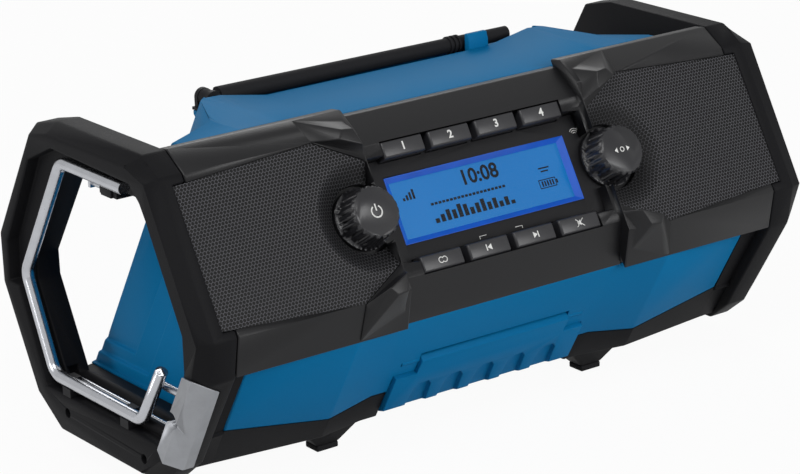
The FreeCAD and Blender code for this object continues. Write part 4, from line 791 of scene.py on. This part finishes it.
class RADIO_OT_inside(RadioOperator, bpy.types.Operator):
    """Finishes the boards, switches and loudspeakers inside"""

    bl_idname = "radio.inside"
    bl_label = "Inside"

    def execute(self, context):
        finish_node("keypad_board", "board")
        finish_node("main_board", "board")
        finish_node("key_switches", "inner")
        finish_node("amplifier_heat_sink", "alloy")
        for side in ("left", "right"):
            finish_node("speaker_basket_" + side, "basket")
            finish_node("speaker_cone_" + side, "cone")
            finish_node("speaker_magnet_" + side, "magnet")
        return {"FINISHED"}


def soft_lamp(name, place, aim, wide, power):
    """A square soft box that looks at a point."""
    deselect()
    bpy.ops.object.light_add(type="AREA", location=place)
    lamp = bpy.context.object
    lamp.name = name
    lamp.data.shape = "SQUARE"
    lamp.data.size = wide
    lamp.data.energy = power
    lamp.rotation_euler = (Vector(aim) - Vector(place)).to_track_quat("-Z", "Y").to_euler()


def seen_ray(tree):
    """One for a ray from the camera or through glass, about half for one off a glossy face, else nought."""
    rays = add_node(tree, "ShaderNodeLightPath")
    mirror = add_node(tree, "ShaderNodeMath", {"operation": "MULTIPLY"},
                      i0=rays.outputs["Is Glossy Ray"], i1=MIRROR_SHARE)
    either = add_node(tree, "ShaderNodeMath", {"operation": "MAXIMUM"},
                      i0=rays.outputs["Is Camera Ray"], i1=mirror.outputs[0])
    return add_node(tree, "ShaderNodeMath", {"operation": "MAXIMUM"},
                    i0=either.outputs[0], i1=rays.outputs["Is Transmission Ray"]).outputs[0]


def pale_floor():
    """A pale studio floor that keeps the shadow and shows white to camera and mirror."""
    made = bpy.data.materials.new("pale_studio_floor")
    made.use_nodes = True
    tree = made.node_tree
    tree.nodes.clear()
    plain = add_node(tree, "ShaderNodeBsdfDiffuse", None, Color=linear("#e4e4e4"))
    seen = add_node(tree, "ShaderNodeEmission", None, Color=linear("#ffffff"), Strength=1.0)
    share = add_node(tree, "ShaderNodeMath", {"operation": "MULTIPLY"}, i0=seen_ray(tree), i1=FLOOR_SHARE)
    mix = add_node(tree, "ShaderNodeMixShader", None,
                   i0=share.outputs[0], i1=plain.outputs[0], i2=seen.outputs[0])
    add_node(tree, "ShaderNodeOutputMaterial", None, Surface=mix.outputs[0])
    return made


def pale_world():
    """A soft even surround that shows white behind the radio."""
    world = bpy.data.worlds.new("pale_studio")
    bpy.context.scene.world = world
    world.use_nodes = True
    tree = world.node_tree
    tree.nodes.clear()
    fill = add_node(tree, "ShaderNodeBackground", None, Color=linear("#f2f4f7"), Strength=FILL_LIGHT)
    white = add_node(tree, "ShaderNodeBackground", None, Color=linear("#ffffff"), Strength=1.0)
    mix = add_node(tree, "ShaderNodeMixShader", None,
                   i0=seen_ray(tree), i1=fill.outputs[0], i2=white.outputs[0])
    add_node(tree, "ShaderNodeOutputWorld", None, Surface=mix.outputs[0])


class RADIO_OT_stage(RadioOperator, bpy.types.Operator):
    """Lays the floor and sets the lamps and the camera"""

    bl_idname = "radio.stage"
    bl_label = "Stage"

    def execute(self, context):
        deselect()
        bpy.ops.mesh.primitive_plane_add(size=12, location=(0, 0, 0))
        floor = context.object
        floor.name = "studio_floor"
        floor.data.materials.append(pale_floor())
        pale_world()
        soft_lamp("key_soft_box", (-0.9, -0.7, 1.5), (0, 0, 0.08), 0.8, 11)
        soft_lamp("front_soft_box", (0.5, -1.7, 0.7), (0, 0, 0.08), 1.0, 15)
        soft_lamp("rear_soft_box", (0.7, 1.3, 1.2), (0, 0, 0.08), 0.8, 7)
        soft_lamp("side_soft_box", (-1.6, 0.2, 0.5), (0, 0, 0.08), 0.6, 6)
        bpy.ops.object.camera_add()
        camera = context.object
        camera.name = "photo_camera"
        camera.data.sensor_width = 36.0
        camera.data.lens = CAMERA_LENS
        camera.data.clip_start = 0.05
        camera.data.clip_end = 50
        camera.data.dof.use_dof = False
        right = CAMERA_RIGHT.normalized()
        back = CAMERA_BACK.normalized()
        up = back.cross(right).normalized()
        turn = Matrix((right, up, back)).transposed().to_4x4()
        camera.matrix_world = Matrix.Translation(CAMERA_PLACE) @ turn
        context.scene.camera = camera
        context.scene.view_settings.view_transform = "Standard"
        return {"FINISHED"}


STEPS = (
    RADIO_OT_shell, RADIO_OT_loops, RADIO_OT_front, RADIO_OT_grilles, RADIO_OT_display, RADIO_OT_keys,
    RADIO_OT_knobs, RADIO_OT_hook, RADIO_OT_aerial, RADIO_OT_flap, RADIO_OT_base, RADIO_OT_battery,
    RADIO_OT_inside, RADIO_OT_stage,
)


class RADIO_PT_panel(bpy.types.Panel):
    """Lists the steps that dress the radio"""

    bl_label = "Radio"
    bl_idname = "RADIO_PT_panel"
    bl_space_type = "VIEW_3D"
    bl_region_type = "UI"
    bl_category = "Radio"

    def draw(self, context):
        for group in (context.scene.radio_sizes, context.scene.radio_colours):
            for key in group.__annotations__:
                self.layout.prop(group, key)
        for step in STEPS:
            self.layout.operator(step.bl_idname)


CLASSES = (RadioSizes, RadioColours) + STEPS + (RADIO_PT_panel,)


def register():
    for item in CLASSES:
        bpy.utils.register_class(item)
    bpy.types.Scene.radio_sizes = PointerProperty(type=RadioSizes)
    bpy.types.Scene.radio_colours = PointerProperty(type=RadioColours)


def unregister():
    del bpy.types.Scene.radio_colours
    del bpy.types.Scene.radio_sizes
    for item in reversed(CLASSES):
        bpy.utils.unregister_class(item)


def plain(bounds):
    return [[float(number) for number in corner] for corner in bounds]


def main():
    register()
    make_finishes()
    for step in STEPS:
        group, name = step.bl_idname.split(".")
        getattr(getattr(bpy.ops, group), name)()
    deselect()


if __name__ == "__main__":
    main()
